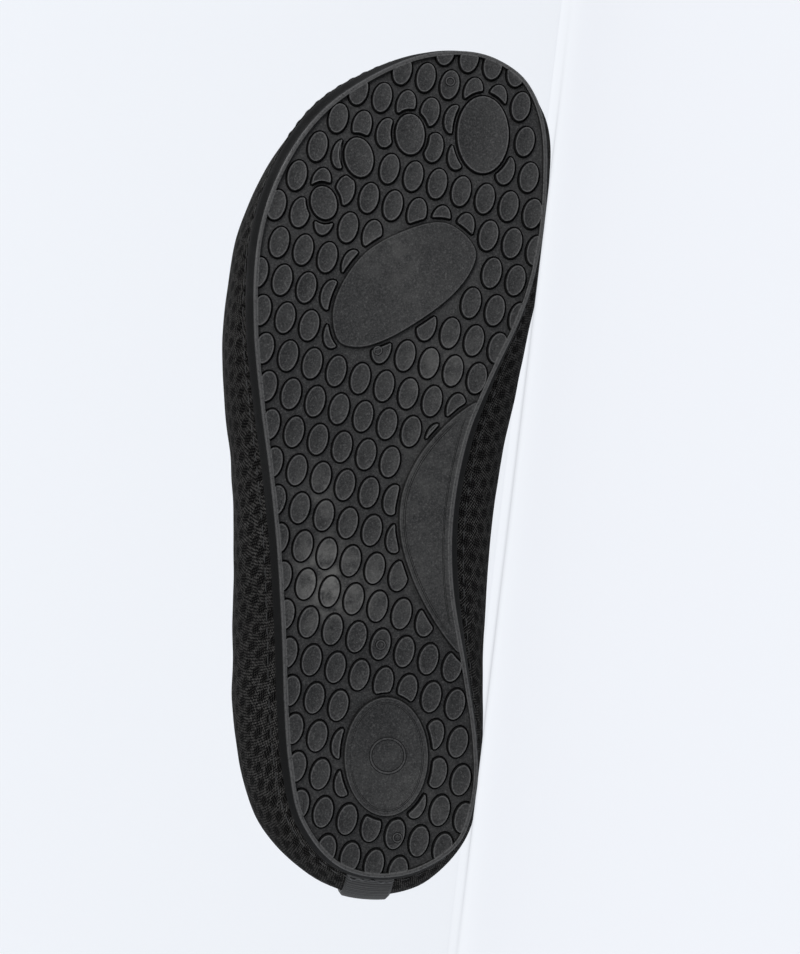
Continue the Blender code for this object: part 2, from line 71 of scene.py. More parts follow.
# Sizes of the upper, the insole and the tape
WALL = 0.0018
LIP = 0.0055
SETBACK = 0.0006
HEM_WIDTH = 0.0060
HEM_STEP = 0.0005
COLLAR_BACK = 0.0050
COLLAR_LONG = 0.0930
COLLAR_WIDE = 0.0425
COLLAR_CENTRE = 0.0212
COLLAR_SHIFT = 0.0072
INSOLE_THICK = 0.0025
INSOLE_ROOM = 0.0006
TAPE_WIDTH = 0.0098
TAPE_THICK = 0.0011
GAP = 0.0003
PRESS = 0.0006

# The finer tread: strip kept clear round a pad, insets from the rim's line, thickness of its sheet
CUT_GAP = 0.00100
RIM_TUCK = 0.0006
SHEET_INSET = 0.00015
GROOVE_INSET = 0.00021
SHEET_BACK = 0.0006

# Ovals: the least that is left of one, the height they keep, and how much they draw in from there
LEAST_DEPTH = 0.00026
LATTICE_STILL = 0.100
DRAWN_TOE = 0.014
DRAWN_HEEL = 0.010

# The toe's sidewall, slimmer where it stands wide: start and fade in LENGTH, flare, and how much
WIDE_WALL_START = 0.74
WIDE_WALL_FADE = 0.10
WIDE_WALL_FLARE = 0.35
TOE_WALL_SLIMMER = 0.28

# Beads: how far each lies in from the edge it follows, its width and its height
HEEL_BEAD = (0.00115, 0.00022, 0.00006)
ARCH_BEAD = (0.0010, 0.00026, 0.00012)
RIM_BEAD = (0.0009, 0.00022, 0.00008)

# Where the beads end: the arch's short of the rim, and the rim's within the arch panel
BEAD_END = 0.0016
PANEL_EDGE = 0.0012

# The tape's ribs
TAPE_RIB = 0.00078
RIB_HIGH = 0.00028

# The sock's rounded edge, its dish, and where its middle line ends at heel and toe
SOCK_EDGE = 0.0013
SOCK_HIGH = 0.00022
SOCK_DISH = 0.0007
SPINE_HEEL = 0.022
SPINE_TOE = 0.024

# How finely the shapes are cut
RING = 60
FINE = 360
SIDE = 480
RIM_STEPS = 240
LUG_POINTS = 36
LOW_ROWS = 20
HIGH_ROWS = 44
EDGE_TURNS = 7

# The row of the fine skin that follows the one where the hem starts
HEM_ROW = 2 + LOW_ROWS + HIGH_ROWS

# A full turn, and millimetres in a metre
TURN = 2 * math.pi
MM = 1000.0

# The view, the floor and the stage
PHOTO_HIGH = 954
SENSOR = 36.0
VIEW_TIP = 7.06
VIEW_AT = (0.02312, 0.08838)
VIEW_FAR = 0.60
VIEW_SCALE = 0.0002040
CAMERA_LOW = 0.003
FLOOR = -0.00005
BACK_TINT = (0.300, 0.303, 0.308)
NEAR_GLOW = (0.480, 0.495, 0.530)
FAR_GLOW = (0.600, 0.620, 0.655)
WALL_GLOW = (0.640, 0.660, 0.695)

# The stations go round the shoe from the back of the heel by the lateral side to the toe and back
# by the medial side. along is a share of LENGTH and across of SOLE_WIDTH, at the sole's rim. flare
# is a share of SIDE_FLARE. over is how far the upper stands out past the rim, in BULGE, at a height
# of wide times BULGE_HEIGHT. turn is the place round the collar in degrees from its back. rise and
# reach are the pulls of the upper's curve at its widest line and at the collar, in HEEL_HEIGHT,
# and pitch is its slope at the collar in degrees.
Station = namedtuple("Station", "name along across flare over wide turn rise reach pitch")
STATIONS = (
    Station("heel back", 0.037, 0.324, 0.6, 0.65, 1.15, 0, 0.26, 0.20, 82),
    Station("heel back lateral", 0.049, 0.470, 0.7, 0.68, 1.15, 22, 0.26, 0.20, 82),
    Station("heel corner lateral", 0.093, 0.600, 0.8, 0.86, 1.10, 43, 0.24, 0.16, 80),
    Station("heel side lateral", 0.150, 0.662, 0.9, 0.97, 1.05, 60, 0.20, 0.12, 76),
    Station("heel front lateral", 0.220, 0.706, 0.9, 1.02, 1.00, 76, 0.17, 0.11, 72),
    Station("waist back lateral", 0.297, 0.743, 0.9, 0.98, 0.98, 92, 0.16, 0.12, 70),
    Station("waist lateral", 0.401, 0.801, 0.9, 0.84, 0.95, 111, 0.17, 0.15, 65),
    Station("waist front lateral", 0.488, 0.862, 0.9, 0.74, 0.93, 126, 0.20, 0.20, 58),
    Station("ball back lateral", 0.560, 0.919, 0.9, 0.70, 0.92, 138, 0.23, 0.27, 50),
    Station("ball lateral", 0.648, 0.976, 1.0, 0.60, 0.90, 150, 0.25, 0.36, 42),
    Station("ball front lateral", 0.735, 1.000, 1.0, 0.45, 0.86, 160, 0.25, 0.45, 36),
    Station("small toe", 0.800, 0.976, 1.3, 0.34, 0.80, 167, 0.23, 0.53, 32),
    Station("toe corner lateral", 0.863, 0.907, 1.7, 0.25, 0.74, 172, 0.21, 0.60, 29),
    Station("fourth toe", 0.912, 0.810, 1.8, 0.22, 0.70, 175, 0.19, 0.66, 27),
    Station("third toe", 0.955, 0.663, 1.4, 0.18, 0.66, 177, 0.18, 0.70, 26),
    Station("second toe", 0.986, 0.505, 0.8, 0.10, 0.64, 179, 0.17, 0.72, 26),
    Station("toe tip", 0.999, 0.347, 0.3, 0.02, 0.62, 181, 0.17, 0.72, 26),
    Station("big toe", 0.995, 0.226, 0.2, 0.02, 0.62, 183, 0.17, 0.70, 26),
    Station("big toe corner", 0.973, 0.111, 0.4, 0.10, 0.64, 185, 0.18, 0.68, 27),
    Station("toe corner medial", 0.925, 0.033, 0.4, 0.22, 0.70, 188, 0.20, 0.62, 29),
    Station("big toe side", 0.851, 0.002, 0.3, 0.22, 0.84, 193, 0.24, 0.54, 32),
    Station("ball medial", 0.779, 0.001, 0.3, 0.24, 0.96, 200, 0.26, 0.46, 37),
    Station("ball back medial", 0.706, 0.034, 0.3, 0.38, 1.00, 209, 0.26, 0.37, 43),
    Station("waist front medial", 0.622, 0.118, 0.6, 0.76, 1.02, 221, 0.24, 0.28, 51),
    Station("arch front", 0.551, 0.177, 0.9, 0.98, 1.04, 234, 0.21, 0.20, 59),
    Station("arch", 0.462, 0.195, 0.9, 1.04, 1.06, 249, 0.18, 0.15, 67),
    Station("arch back", 0.379, 0.164, 0.9, 0.92, 1.08, 265, 0.17, 0.12, 72),
    Station("heel front medial", 0.286, 0.082, 0.5, 0.54, 1.10, 281, 0.17, 0.11, 75),
    Station("heel side medial", 0.206, 0.015, 0.3, 0.31, 1.12, 297, 0.19, 0.12, 78),
    Station("heel medial", 0.146, -0.006, 0.3, 0.26, 1.14, 311, 0.21, 0.14, 80),
    Station("heel corner medial", 0.088, 0.030, 0.3, 0.32, 1.15, 328, 0.24, 0.17, 82),
    Station("heel back medial", 0.050, 0.164, 0.7, 0.60, 1.15, 344, 0.26, 0.20, 82),
)

# Smooth pads under the toes and the heel: along in LENGTH, across in SOLE_WIDTH, half sizes in
# metres, lean in degrees towards the medial side.
Pad = namedtuple("Pad", "name along across half_long half_wide lean")
PADS = (
    Pad("big toe", 0.902, 0.248, 0.00820, 0.00540, -4),
    Pad("second toe", 0.891, 0.507, 0.00433, 0.00303, -7),
    Pad("third toe", 0.856, 0.679, 0.00420, 0.00297, -17),
    Pad("fourth toe", 0.798, 0.784, 0.00350, 0.00268, -20),
    Pad("heel", 0.176, 0.326, 0.01215, 0.00855, -7),
)

# Edges of the smooth pad under the ball and of the arch panel: along in LENGTH, across in
# SOLE_WIDTH. The arch panel's edge runs on past the sole's side at both ends.
Point = namedtuple("Point", "along across")
BALL_EDGE = (
    Point(0.793, 0.345), Point(0.776, 0.499), Point(0.741, 0.631), Point(0.684, 0.705),
    Point(0.642, 0.672), Point(0.641, 0.570), Point(0.674, 0.412), Point(0.722, 0.270),
    Point(0.765, 0.229),
)
ARCH_EDGE = (
    Point(0.612, 0.080), Point(0.582, 0.205), Point(0.550, 0.290), Point(0.517, 0.349),
    Point(0.474, 0.385), Point(0.430, 0.372), Point(0.387, 0.318), Point(0.343, 0.230),
    Point(0.306, 0.125), Point(0.285, 0.040),
)


def eased(a, b, slope_a, slope_b, s):
    """The point at share s of a curve from a to b that leaves and arrives with the given slopes."""
    return (
        (2 * s**3 - 3 * s**2 + 1) * a
        + (s**3 - 2 * s**2 + s) * slope_a
        + (3 * s**2 - 2 * s**3) * b
        + (s**3 - s**2) * slope_b
    )


def periodic(rows, at, count):
    """Smooth closed curves through the rows at the given parameters, read at count even steps."""
    values = np.array(rows, float)
    total = at[-1]
    knots = np.concatenate([[at[-2] - total], at, [total + at[1]]])
    values = np.vstack([values[-1], values, values[0], values[1]])
    slopes = (values[2:] - values[:-2]) / (knots[2:] - knots[:-2])[:, None]
    out = []
    for step in range(count):
        t = total * step / count
        low = int(np.searchsorted(at, t, side="right")) - 1
        span = at[low + 1] - at[low]
        ends = values[low + 1], values[low + 2], slopes[low] * span, slopes[low + 1] * span
        out.append(eased(*ends, (t - at[low]) / span))
    return np.array(out)


def summed(steps, axis=0):
    """Running sums that start at nought."""
    first = np.zeros_like(np.take(steps, [0], axis=axis))
    return np.concatenate([first, np.cumsum(steps, axis=axis)], axis=axis)


def unit(rows):
    """Rows made one long each."""
    return rows / np.linalg.norm(rows, axis=-1)[..., None]


def spaced(points):
    """Running length along a closed run of points, ending with the whole length."""
    return summed(np.linalg.norm(np.roll(points, -1, axis=0) - points, axis=1))


def turns_left(loop):
    """Whether a closed loop runs against the clock."""
    following = np.roll(loop, -1, axis=0)
    return float(np.sum(loop[:, 0] * following[:, 1] - following[:, 0] * loop[:, 1])) > 0


def outward(loop):
    """Unit normals that point out of a closed loop of plan points."""
    along = unit(np.roll(loop, -1, axis=0) - np.roll(loop, 1, axis=0))
    side = np.stack([along[:, 1], -along[:, 0]], axis=1)
    return side if turns_left(loop) else -side


def past_spring(y):
    """Nought up to where the toe starts to rise, and 1 at its tip."""
    return np.clip((np.asarray(y, float) - SPRING_START) / (LENGTH - SPRING_START), 0, None)


def spring(y):
    """How far the toe lifts everything at y."""
    return TOE_SPRING * past_spring(y) ** 2


def laid(y):
    """Where a point of the flat tread lies once the toe is bent up."""
    run = LENGTH - SPRING_START
    return np.asarray(y, float) - run * (2 * TOE_SPRING / run) ** 2 * past_spring(y) ** 3 / 6


def stations(count):
    """The station table as smooth columns, with the rim's plan points and its outward normals."""
    places = np.array([[s.across * SOLE_WIDTH, s.along * LENGTH] for s in STATIONS])
    names = Station._fields[3:]
    level = np.array([[*place, *s[3:]] for place, s in zip(places, STATIONS)])
    at = spaced(places)
    turn = 2 + names.index("turn")
    level[:, turn] -= 360 * at[:-1] / at[-1]
    read = periodic(level, at, count)
    read[:, turn] += 360 * np.arange(count) / count
    loop = read[:, :2]
    return loop, outward(loop), {name: read[:, 2 + i] for i, name in enumerate(names)}


def foot_line(count):
    """The rim, its outward normals, and the line on the sole that the upper's wall stands on."""
    loop, normal, column = stations(count)
    return loop, normal, loop + normal * (SIDE_FLARE * column["flare"] - SETBACK)[:, None]


def bezier(a, b, c, d, t):
    """The point at share t of a cubic curve."""
    return (1 - t) ** 3 * a + 3 * (1 - t) ** 2 * t * b + 3 * (1 - t) * t**2 * c + t**3 * d


def collar(turn):
    """A point of the collar's edge, and the plan direction out of the opening there."""
    angle = math.radians(turn)
    back = -math.cos(angle)
    side = math.sin(angle)
    y = COLLAR_BACK + COLLAR_LONG * (1 + back) / 2
    x = COLLAR_CENTRE + COLLAR_SHIFT * (1 + back) / 2 + side * COLLAR_WIDE / 2 * (1 - 0.10 * back)
    ends = HEEL_HEIGHT if back < 0 else THROAT_HEIGHT
    z = SIDE_DIP + (ends - SIDE_DIP) * back**2
    out = np.array([side / (COLLAR_WIDE / 2), back / (COLLAR_LONG / 2)])
    return np.array([x, y, z]), out / np.linalg.norm(out)


LOWER_STEPS = (0.0, 0.28, 0.6, 1.0)
UPPER_STEPS = (0.08, 0.17, 0.28, 0.42, 0.58, 0.75)


def on_sole(plan):
    """A plan point laid on top of the sole, in three dimensions."""
    return np.array([*plan, SOLE_THICK + GAP + float(spring(plan[1]))])


def wall_curves(loop, normal, column, i):
    """The upper's wall at one station: its foot, the curve up to its widest line, the curve from
    there to the collar, that curve's rough length, and the way that the hem stands out."""
    out = normal[i]
    edge = loop[i] + out * (SIDE_FLARE * column["flare"][i] - SETBACK)
    wide = loop[i] + out * BULGE * column["over"][i]
    lift = float(spring(edge[1]))
    wide_z = BULGE_HEIGHT * column["wide"][i] + lift
    end, opening = collar(column["turn"][i])
    a = np.array([*edge, SOLE_THICK + GAP + lift])
    d = np.array([*wide, wide_z])
    push = max(float(np.dot(wide - edge, out)), 0.0)
    b = a + np.array([*(out * push * 0.75), (wide_z - a[2]) * 0.18])
    c = d - np.array([0, 0, (wide_z - a[2]) * 0.5])
    slope = math.radians(column["pitch"][i])
    path = opening * COLLAR_WIDE / 2 + wide - end[:2]
    path /= np.linalg.norm(path)
    lean = np.array([*(path * math.cos(slope)), -math.sin(slope)])
    e = d + np.array([0, 0, column["rise"][i] * HEEL_HEIGHT])
    f = end + lean * (column["reach"][i] * HEEL_HEIGHT)
    span = sum(np.linalg.norm(q - p) for p, q in ((d, e), (e, f), (f, end)))
    tangent = end - bezier(d, e, f, end, 0.97)
    tangent /= np.linalg.norm(tangent)
    level = np.array([*opening, 0.0])
    face = level - tangent * float(np.dot(level, tangent))
    return edge, (a, b, c, d), (d, e, f, end), span, face / np.linalg.norm(face)


def upper_grid(count, lower_steps=LOWER_STEPS, upper_steps=UPPER_STEPS):
    """The upper's outer face: rows from the edge of the turned-in lip up to the collar."""
    loop, normal, column = stations(count)
    grid = []
    for i in range(count):
        edge, low, high, span, face = wall_curves(loop, normal, column, i)
        hem = 1 - HEM_WIDTH / span
        rows = [on_sole(edge - normal[i] * LIP)]
        rows += [bezier(*low, t) for t in lower_steps]
        rows += [bezier(*high, t * hem / 0.9) for t in upper_steps]
        top = [bezier(*high, t) for t in (hem, hem + 0.012, 1.0)]
        rows += [top[0], top[1] + face * HEM_STEP, top[2] + face * HEM_STEP]
        grid.append(rows)
    return np.array(grid)


def rest_plane(grid):
    """The floor that the sole's medial edge and the upper's bulge lie on, as (y, z, c) factors."""
    loop, normal, column = stations(RING * 2)
    flare = (SIDE_FLARE * column["flare"])[:, None]
    steps = ((EDGE_CHAMFER, 0.0), (SOLE_THICK * 0.62, 0.78), (SOLE_THICK, 1.0))
    sides = [(loop + normal * flare * share, level) for level, share in steps]
    edge = np.vstack([np.column_stack([p, level + spring(p[:, 1])]) for p, level in sides])
    skin = grid.reshape(-1, 3)
    middle = LENGTH / 2

    def settle(tilt):
        value = edge[:, 0] + edge[:, 2] * tilt
        back = edge[:, 1] < middle
        low, high = -0.3, 0.3
        for _ in range(50):
            turn = (low + high) / 2
            line = value + edge[:, 1] * turn
            if line[back].min() > line[~back].min():
                low = turn
            else:
                high = turn
        return turn, float((value + edge[:, 1] * turn).min())

    low, high = 0.0, 1.0
    for _ in range(50):
        tilt = (low + high) / 2
        turn, level = settle(tilt)
        if (skin[:, 0] + skin[:, 2] * tilt + skin[:, 1] * turn).min() < level - PRESS:
            low = tilt
        else:
            high = tilt
    return turn, tilt, level


def press(points, plane):
    """Points below the floor are moved up to it, square to it."""
    turn, tilt, level = plane
    square = np.array([1.0, turn, tilt])
    over = level - points @ square
    move = np.clip(over, 0, None)[..., None] * square / (square @ square)
    return points + move


def inside(points, loop):
    """Whether plan points are inside a closed loop, and how far they are from its line."""
    points = np.atleast_2d(points)
    edge = np.roll(loop, -1, axis=0) - loop
    ends = loop[:, 1] + edge[:, 1]
    rise = np.where(edge[:, 1] == 0, 1e-12, edge[:, 1])
    size = np.maximum((edge ** 2).sum(axis=1), 1e-18)
    hit = np.zeros(len(points), bool)
    far = np.zeros(len(points))
    for start in range(0, len(points), 2000):
        part = points[start:start + 2000]
        dx = part[:, :1] - loop[:, 0]
        dy = part[:, 1:] - loop[:, 1]
        crosses = (dy < 0) != (part[:, 1:] < ends)
        found = (crosses & (dx < dy / rise * edge[:, 0])).sum(axis=1) % 2 == 1
        t = np.clip((dx * edge[:, 0] + dy * edge[:, 1]) / size, 0, 1)
        gap = np.hypot(dx - t * edge[:, 0], dy - t * edge[:, 1])
        hit[start:start + 2000] = found
        far[start:start + 2000] = gap.min(axis=1)
    return hit, far


def smooth_edge(points, closed, count):
    """Plan points of an edge table, made smooth."""
    rows = np.array([[p.across * SOLE_WIDTH, p.along * LENGTH] for p in points])
    if closed:
        return periodic(rows, spaced(rows), count)
    at = spaced(rows)[: len(rows)]
    slopes = np.gradient(rows, at, axis=0)
    out = []
    for t in np.linspace(0, at[-1], count):
        low = min(int(np.searchsorted(at, t, side="right")) - 1, len(rows) - 2)
        span = at[low + 1] - at[low]
        ends = rows[low], rows[low + 1], slopes[low] * span, slopes[low + 1] * span
        out.append(eased(*ends, (t - at[low]) / span))
    return np.array(out)


def grown(loop, by):
    """A closed loop moved outwards."""
    return loop + outward(loop) * by


def leaned(x, y, across, along, lean):
    """Plan points given in the axes of something that leans by some degrees."""
    turn = math.radians(lean)
    return np.column_stack([
        x + across * math.cos(turn) - along * math.sin(turn),
        y + across * math.sin(turn) + along * math.cos(turn),
    ])


def unit_circle(count):
    """Even points round a circle."""
    angle = TURN * np.arange(count) / count
    return np.column_stack([np.cos(angle), np.sin(angle)])


def ellipse_points(x, y, half_wide, half_long, lean, count):
    """Plan points round an oval that leans by some degrees."""
    circle = unit_circle(count)
    return leaned(x, y, half_wide * circle[:, 0], half_long * circle[:, 1], lean)


def arch_panel():
    """The smooth lens at the medial side, closed well outside the sole."""
    edge = smooth_edge(ARCH_EDGE, False, 16)
    beyond = -0.25 * SOLE_WIDTH
    return np.vstack([edge, [[beyond, edge[-1][1]], [beyond, edge[0][1]]]])


def lattice(pocket, keep_clear):
    """Plan centres of the ovals that show in the pocket."""
    reach = int(1.4 * LENGTH / LATTICE_ALONG[1])
    found = []
    for i in range(-reach, reach):
        for j in range(-reach, reach):
            x = LATTICE_START[0] + i * LATTICE_ACROSS[0] + j * LATTICE_ALONG[0]
            y = LATTICE_START[1] + i * LATTICE_ACROSS[1] + j * LATTICE_ALONG[1]
            if not (-0.1 * SOLE_WIDTH < x < 1.1 * SOLE_WIDTH and 0 < y < 1.05 * LENGTH):
                continue
            y = float(laid(y))
            y -= (y - LATTICE_STILL) * (DRAWN_TOE if y > LATTICE_STILL else DRAWN_HEEL)
            spots = np.vstack([
                ellipse_points(x, y, OVAL_WIDE / 2 * k, OVAL_LONG / 2 * k, OVAL_LEAN, 12)
                for k in (0.3, 0.62, 0.92)
            ])
            open_here = inside(spots, pocket)[0]
            for loop in keep_clear:
                open_here &= ~inside(spots, loop)[0]
            if open_here.mean() > 0.12:
                found.append((x, y))
    return found


def wall_inside(grid, height):
    """Plan points on the inner side of the upper's wall at a height over the bent sole."""
    loop, normal, column = stations(len(grid))
    found = []
    for line, start, out in zip(grid, loop, normal):
        away = (line[1:, :2] - start) @ out
        rise = line[1:, 2] - spring(line[1:, 1])
        run = unit(np.column_stack([np.gradient(away), np.gradient(rise)]))
        room = WALL + INSOLE_ROOM
        inner = np.column_stack([away - run[:, 1] * room, rise + run[:, 0] * room])
        low = max(int(np.argmax(inner[:, 1] > height)), 1)
        a, b = inner[low - 1], inner[low]
        share = np.clip((height - a[1]) / (b[1] - a[1]), 0, 1)
        found.append(start + out * (a[0] + (b[0] - a[0]) * share))
    return np.array(found)


def even(points, count):
    """A closed run of points read at count even steps."""
    at = spaced(points)
    closed = np.vstack([points, points[:1]])
    t = np.linspace(0, at[-1], count, endpoint=False)
    return np.column_stack([np.interp(t, at, closed[:, k]) for k in range(points.shape[1])])


def softened(points, passes):
    """A closed run of points with its corners eased."""
    for _ in range(passes):
        points = points * 0.5 + (np.roll(points, 1, axis=0) + np.roll(points, -1, axis=0)) * 0.25
    return points


def oval_field(points, x, y, half_wide, half_long, lean):
    """Below nought inside the oval, and about the distance from its line."""
    turn = math.radians(lean)
    dx = points[:, 0] - x
    dy = points[:, 1] - y
    u = dx * math.cos(turn) + dy * math.sin(turn)
    v = -dx * math.sin(turn) + dy * math.cos(turn)
    return (np.hypot(u / half_wide, v / half_long) - 1) * min(half_wide, half_long)


def loop_field(points, loop):
    """Below nought inside the loop, and the distance from its line."""
    hit, far = inside(points, loop)
    return np.where(hit, -far, far)


def cut_outline(oval, keep, cuts):
    """The outline of what is left of an oval within keep and clear of the cuts."""
    x, y, half_wide, half_long, lean = oval

    def field(points):
        value = oval_field(points, *oval)
        if keep is not None:
            value = np.maximum(value, loop_field(points, keep))
        for kind, shape in cuts:
            other = oval_field(points, *shape) if kind == "oval" else loop_field(points, shape)
            value = np.maximum(value, -other)
        return value

    steps = np.linspace(-1, 1, 27)
    across, along = np.meshgrid(steps * half_wide, steps * half_long)
    spots = leaned(x, y, across.ravel(), along.ravel(), lean)
    value = field(spots)
    best = int(np.argmin(value))
    if value[best] > -LEAST_DEPTH:
        return None
    centre = spots[best]
    ray = unit_circle(96)
    radii = np.arange(0.0, 0.0074, 0.0001)
    cloud = centre + ray[:, None, :] * radii[None, :, None]
    value = field(cloud.reshape(-1, 2)).reshape(len(ray), len(radii))
    out = []
    for way, line in zip(ray, value):
        over = line > 0
        k = int(np.argmax(over)) if over.any() else len(radii) - 1
        a, b = line[k - 1], line[k]
        share = -a / (b - a) if b > a else 0
        out.append(centre + way * (radii[k - 1] + (radii[k] - radii[k - 1]) * share))
    return np.array(out)


def arch_outline(keep):
    """The arch panel within the rim: its lens edge, and back along the rim."""
    edge = smooth_edge(ARCH_EDGE, False, 260)
    edge = edge[inside(edge, keep)[0]]
    last, first = [int(np.argmin(np.linalg.norm(keep - p, axis=1))) for p in (edge[-1], edge[0])]
    ahead = (first - last) % len(keep)
    step = 1 if ahead < len(keep) / 2 else -1
    run = ahead if step == 1 else len(keep) - ahead
    back = [keep[(last + step * k) % len(keep)] for k in range(1, run)]
    return np.vstack([edge, back])


def tread_outlines():
    """Every raised part of the tread as (kind, outline), each outline running the same way."""
    loop, normal, column = stations(RIM_STEPS)
    keep = loop - normal * RIM_TUCK
    pocket = loop - normal * RIM_WIDTH
    pads = [
        (p.across * SOLE_WIDTH, p.along * LENGTH, p.half_wide, p.half_long, p.lean) for p in PADS
    ]
    clear = [(x, y, w + CUT_GAP, h + CUT_GAP, lean) for x, y, w, h, lean in pads]
    ball = smooth_edge(BALL_EDGE, True, 120)
    arch = arch_panel()
    clear_ball = grown(ball, CUT_GAP)
    clear_arch = arch + outward(arch) * CUT_GAP
    loops = [ellipse_points(*p, 24) for p in clear] + [clear_ball, clear_arch]
    found = []
    for x, y in lattice(pocket, loops):
        oval = (x, y, OVAL_WIDE / 2, OVAL_LONG / 2, OVAL_LEAN)
        line = ellipse_points(*oval, 120)
        cuts = []
        for shape in clear:
            if oval_field(line, *shape).min() < 0:
                cuts.append(("oval", shape))
        for shape in (clear_ball, clear_arch):
            if inside(line, shape)[0].any():
                cuts.append(("loop", shape))
        at_rim = not inside(line, keep)[0].all()
        if cuts or at_rim:
            cut = cut_outline(oval, keep if at_rim else None, cuts)
            if cut is None:
                continue
            line = softened(even(cut, 72), 2)
        found.append(("oval", even(line, LUG_POINTS)))
    for x, y, w, h, lean in pads:
        count = int(round(math.pi * (w + h) / 0.00075))
        kind = "pad" if w < 0.007 else "wide"
        found.append((kind, even(ellipse_points(x, y, w, h, lean, 240), count)))
    found.append(("ball", even(ball, 110)))
    found.append(("arch", softened(even(arch_outline(keep), 190), 4)))
    return [(kind, outline if turns_left(outline) else outline[::-1]) for kind, outline in found]


def filled(loops, holes=()):
    """Triangles over the plan between the first loop and the holes, as indices into all the points."""
    points = np.vstack([*loops, *holes])
    sizes = [len(p) for p in (*loops, *holes)]
    starts = np.concatenate([[0], np.cumsum(sizes)]).astype(int)
    edges = []
    for start, size in zip(starts, sizes):
        edges += [(start + i, start + (i + 1) % size) for i in range(size)]
    owner = np.repeat(np.arange(len(sizes)), sizes)
    at = [Vector((float(p[0]) * 1000, float(p[1]) * 1000)) for p in points]
    made = geometry.delaunay_2d_cdt(at, edges, [], 1, 1e-6)
    origin = []
    for spot, source in zip(made[0], made[3]):
        if source:
            origin.append(source[0])
            continue
        far = np.hypot(points[:, 0] * 1000 - spot[0], points[:, 1] * 1000 - spot[1])
        origin.append(int(np.argmin(far)))
    faces = []
    for face in made[2]:
        ids = [origin[i] for i in face]
        if len(set(ids)) < 3:
            continue
        own = {int(owner[i]) for i in ids}
        if len(own) == 1 and min(own) >= len(loops):
            middle = points[ids].mean(axis=0)
            if inside(middle, holes[min(own) - len(loops)])[0][0]:
                continue
        faces.append(ids)
    return faces


def quads(rows, columns, start=0, closed=False):
    """Faces of a grid of points that closes round its columns, and round its rows too if closed."""
    faces = []
    for k in range(rows if closed else rows - 1):
        low, high = start + k * columns, start + (k + 1) % rows * columns
        for i in range(columns):
            j = (i + 1) % columns
            faces.append((low + i, low + j, high + j, high + i))
    return faces


def made_mesh(name, points, faces):
    """A new mesh of points and faces."""
    mesh = bpy.data.meshes.new(name)
    mesh.from_pydata(points, [], faces)
    return mesh


class Skin:
    """Points and faces of one piece, with a tone for each point, before it becomes a mesh. The tone
    paints shade below nought and a highlight above nought.
    """

    def __init__(self):
        self.points = []
        self.tones = []
        self.faces = []

    def ring(self, plan, height, tone=0.0):
        """Adds points over a plan run, lifted by the toe spring, and gives back their numbers."""
        start = len(self.points)
        heights = np.broadcast_to(np.asarray(height, float), len(plan))
        lift = spring(np.asarray(plan)[:, 1])
        for (x, y), z, up in zip(plan, heights, lift):
            self.points.append((float(x), float(y), float(z + up)))
        self.tones += [float(t) for t in np.broadcast_to(np.asarray(tone, float), len(plan))]
        return list(range(start, start + len(plan)))

    def band(self, low, high):
        """Joins two rings of the same count."""
        count = len(low)
        for i in range(count):
            j = (i + 1) % count
            self.faces.append((low[i], low[j], high[j], high[i]))

    def cap(self, ring):
        """Closes a round ring with one face."""
        self.faces.append(tuple(ring))

    def fill(self, ring):
        """Closes a ring of any outline with flat triangles."""
        plan = np.array([self.points[i][:2] for i in ring])
        at = np.array(ring)
        for face in filled([plan]):
            self.faces.append(tuple(int(i) for i in at[face]))

    def mesh(self, name):
        """The finished mesh, with its faces turned outwards and small holes closed."""
        mesh = made_mesh(name, self.points, self.faces)
        # the tone carries painted shade below nought and a painted highlight above nought
        tone = mesh.attributes.new("tone", "FLOAT", "POINT")
        tone.data.foreach_set("value", np.array(self.tones, np.float32))
        turn_out(mesh, holes=True)
        return mesh


def turn_out(mesh, weld=0.0, holes=False):
    """Turns the faces outwards, and joins double points or closes small holes where asked."""
    bm = bmesh.new()
    bm.from_mesh(mesh)
    if weld:
        bmesh.ops.remove_doubles(bm, verts=bm.verts, dist=weld)
    bmesh.ops.recalc_face_normals(bm, faces=bm.faces)
    if holes:
        bmesh.ops.holes_fill(bm, edges=[e for e in bm.edges if e.is_boundary], sides=8)
    bm.to_mesh(mesh)
    bm.free()


def show(name, mesh, materials, body="root", sharp=34):
    """Puts a mesh that is drawn in shoe axes into the scene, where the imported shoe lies."""
    obj = bpy.data.objects.new(name, mesh)
    bpy.context.scene.collection.objects.link(obj)
    for material in materials:
        mesh.materials.append(material)
    mesh.transform(PLACE)
    mesh.shade_smooth()
    if sharp:
        mesh.set_sharp_from_angle(angle=math.radians(sharp))
    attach(obj, body)
    return obj


LUG_PROFILE = (
    # out from the outline, height, tone: below nought a painted shade in the groove and on the wall,
    # above nought a painted highlight along the top edge
    (0.00038, TREAD_DEPTH, -0.1),
    (0.00031, TREAD_DEPTH + 0.00018, -0.9),
    (0.00026, TREAD_DEPTH + 0.00040, -1.0),
    (0.00004, TREAD_DEPTH + 0.00040, -1.0),
    (0.00000, 0.00040, -0.9),
    (-0.00004, 0.00012, 0.1),
    (-0.00012, 0.00001, 1.0),
    (-0.00026, 0.00002, 0.75),
    (-0.00042, 0.00008, 0.0),
)

LOW_PROFILE = (
    # the same for the wide flat parts, whose edges are softer, as are their painted shade and
    # highlight
    (0.00034, TREAD_DEPTH, -0.1),
    (0.00022, TREAD_DEPTH + 0.00004, -0.5),
    (0.00010, TREAD_DEPTH - 0.00020, -0.6),
    (0.00004, 0.00040, -0.2),
    (-0.00004, 0.00010, 0.6),
    (-0.00014, 0.00001, 0.8),
    (-0.00030, 0.00004, 0.2),
    (-0.00050, 0.00008, 0.0),
)


def profile_of(kind):
    """The edge profile of one kind of raised part."""
    return LUG_PROFILE if kind in ("oval", "pad") else LOW_PROFILE


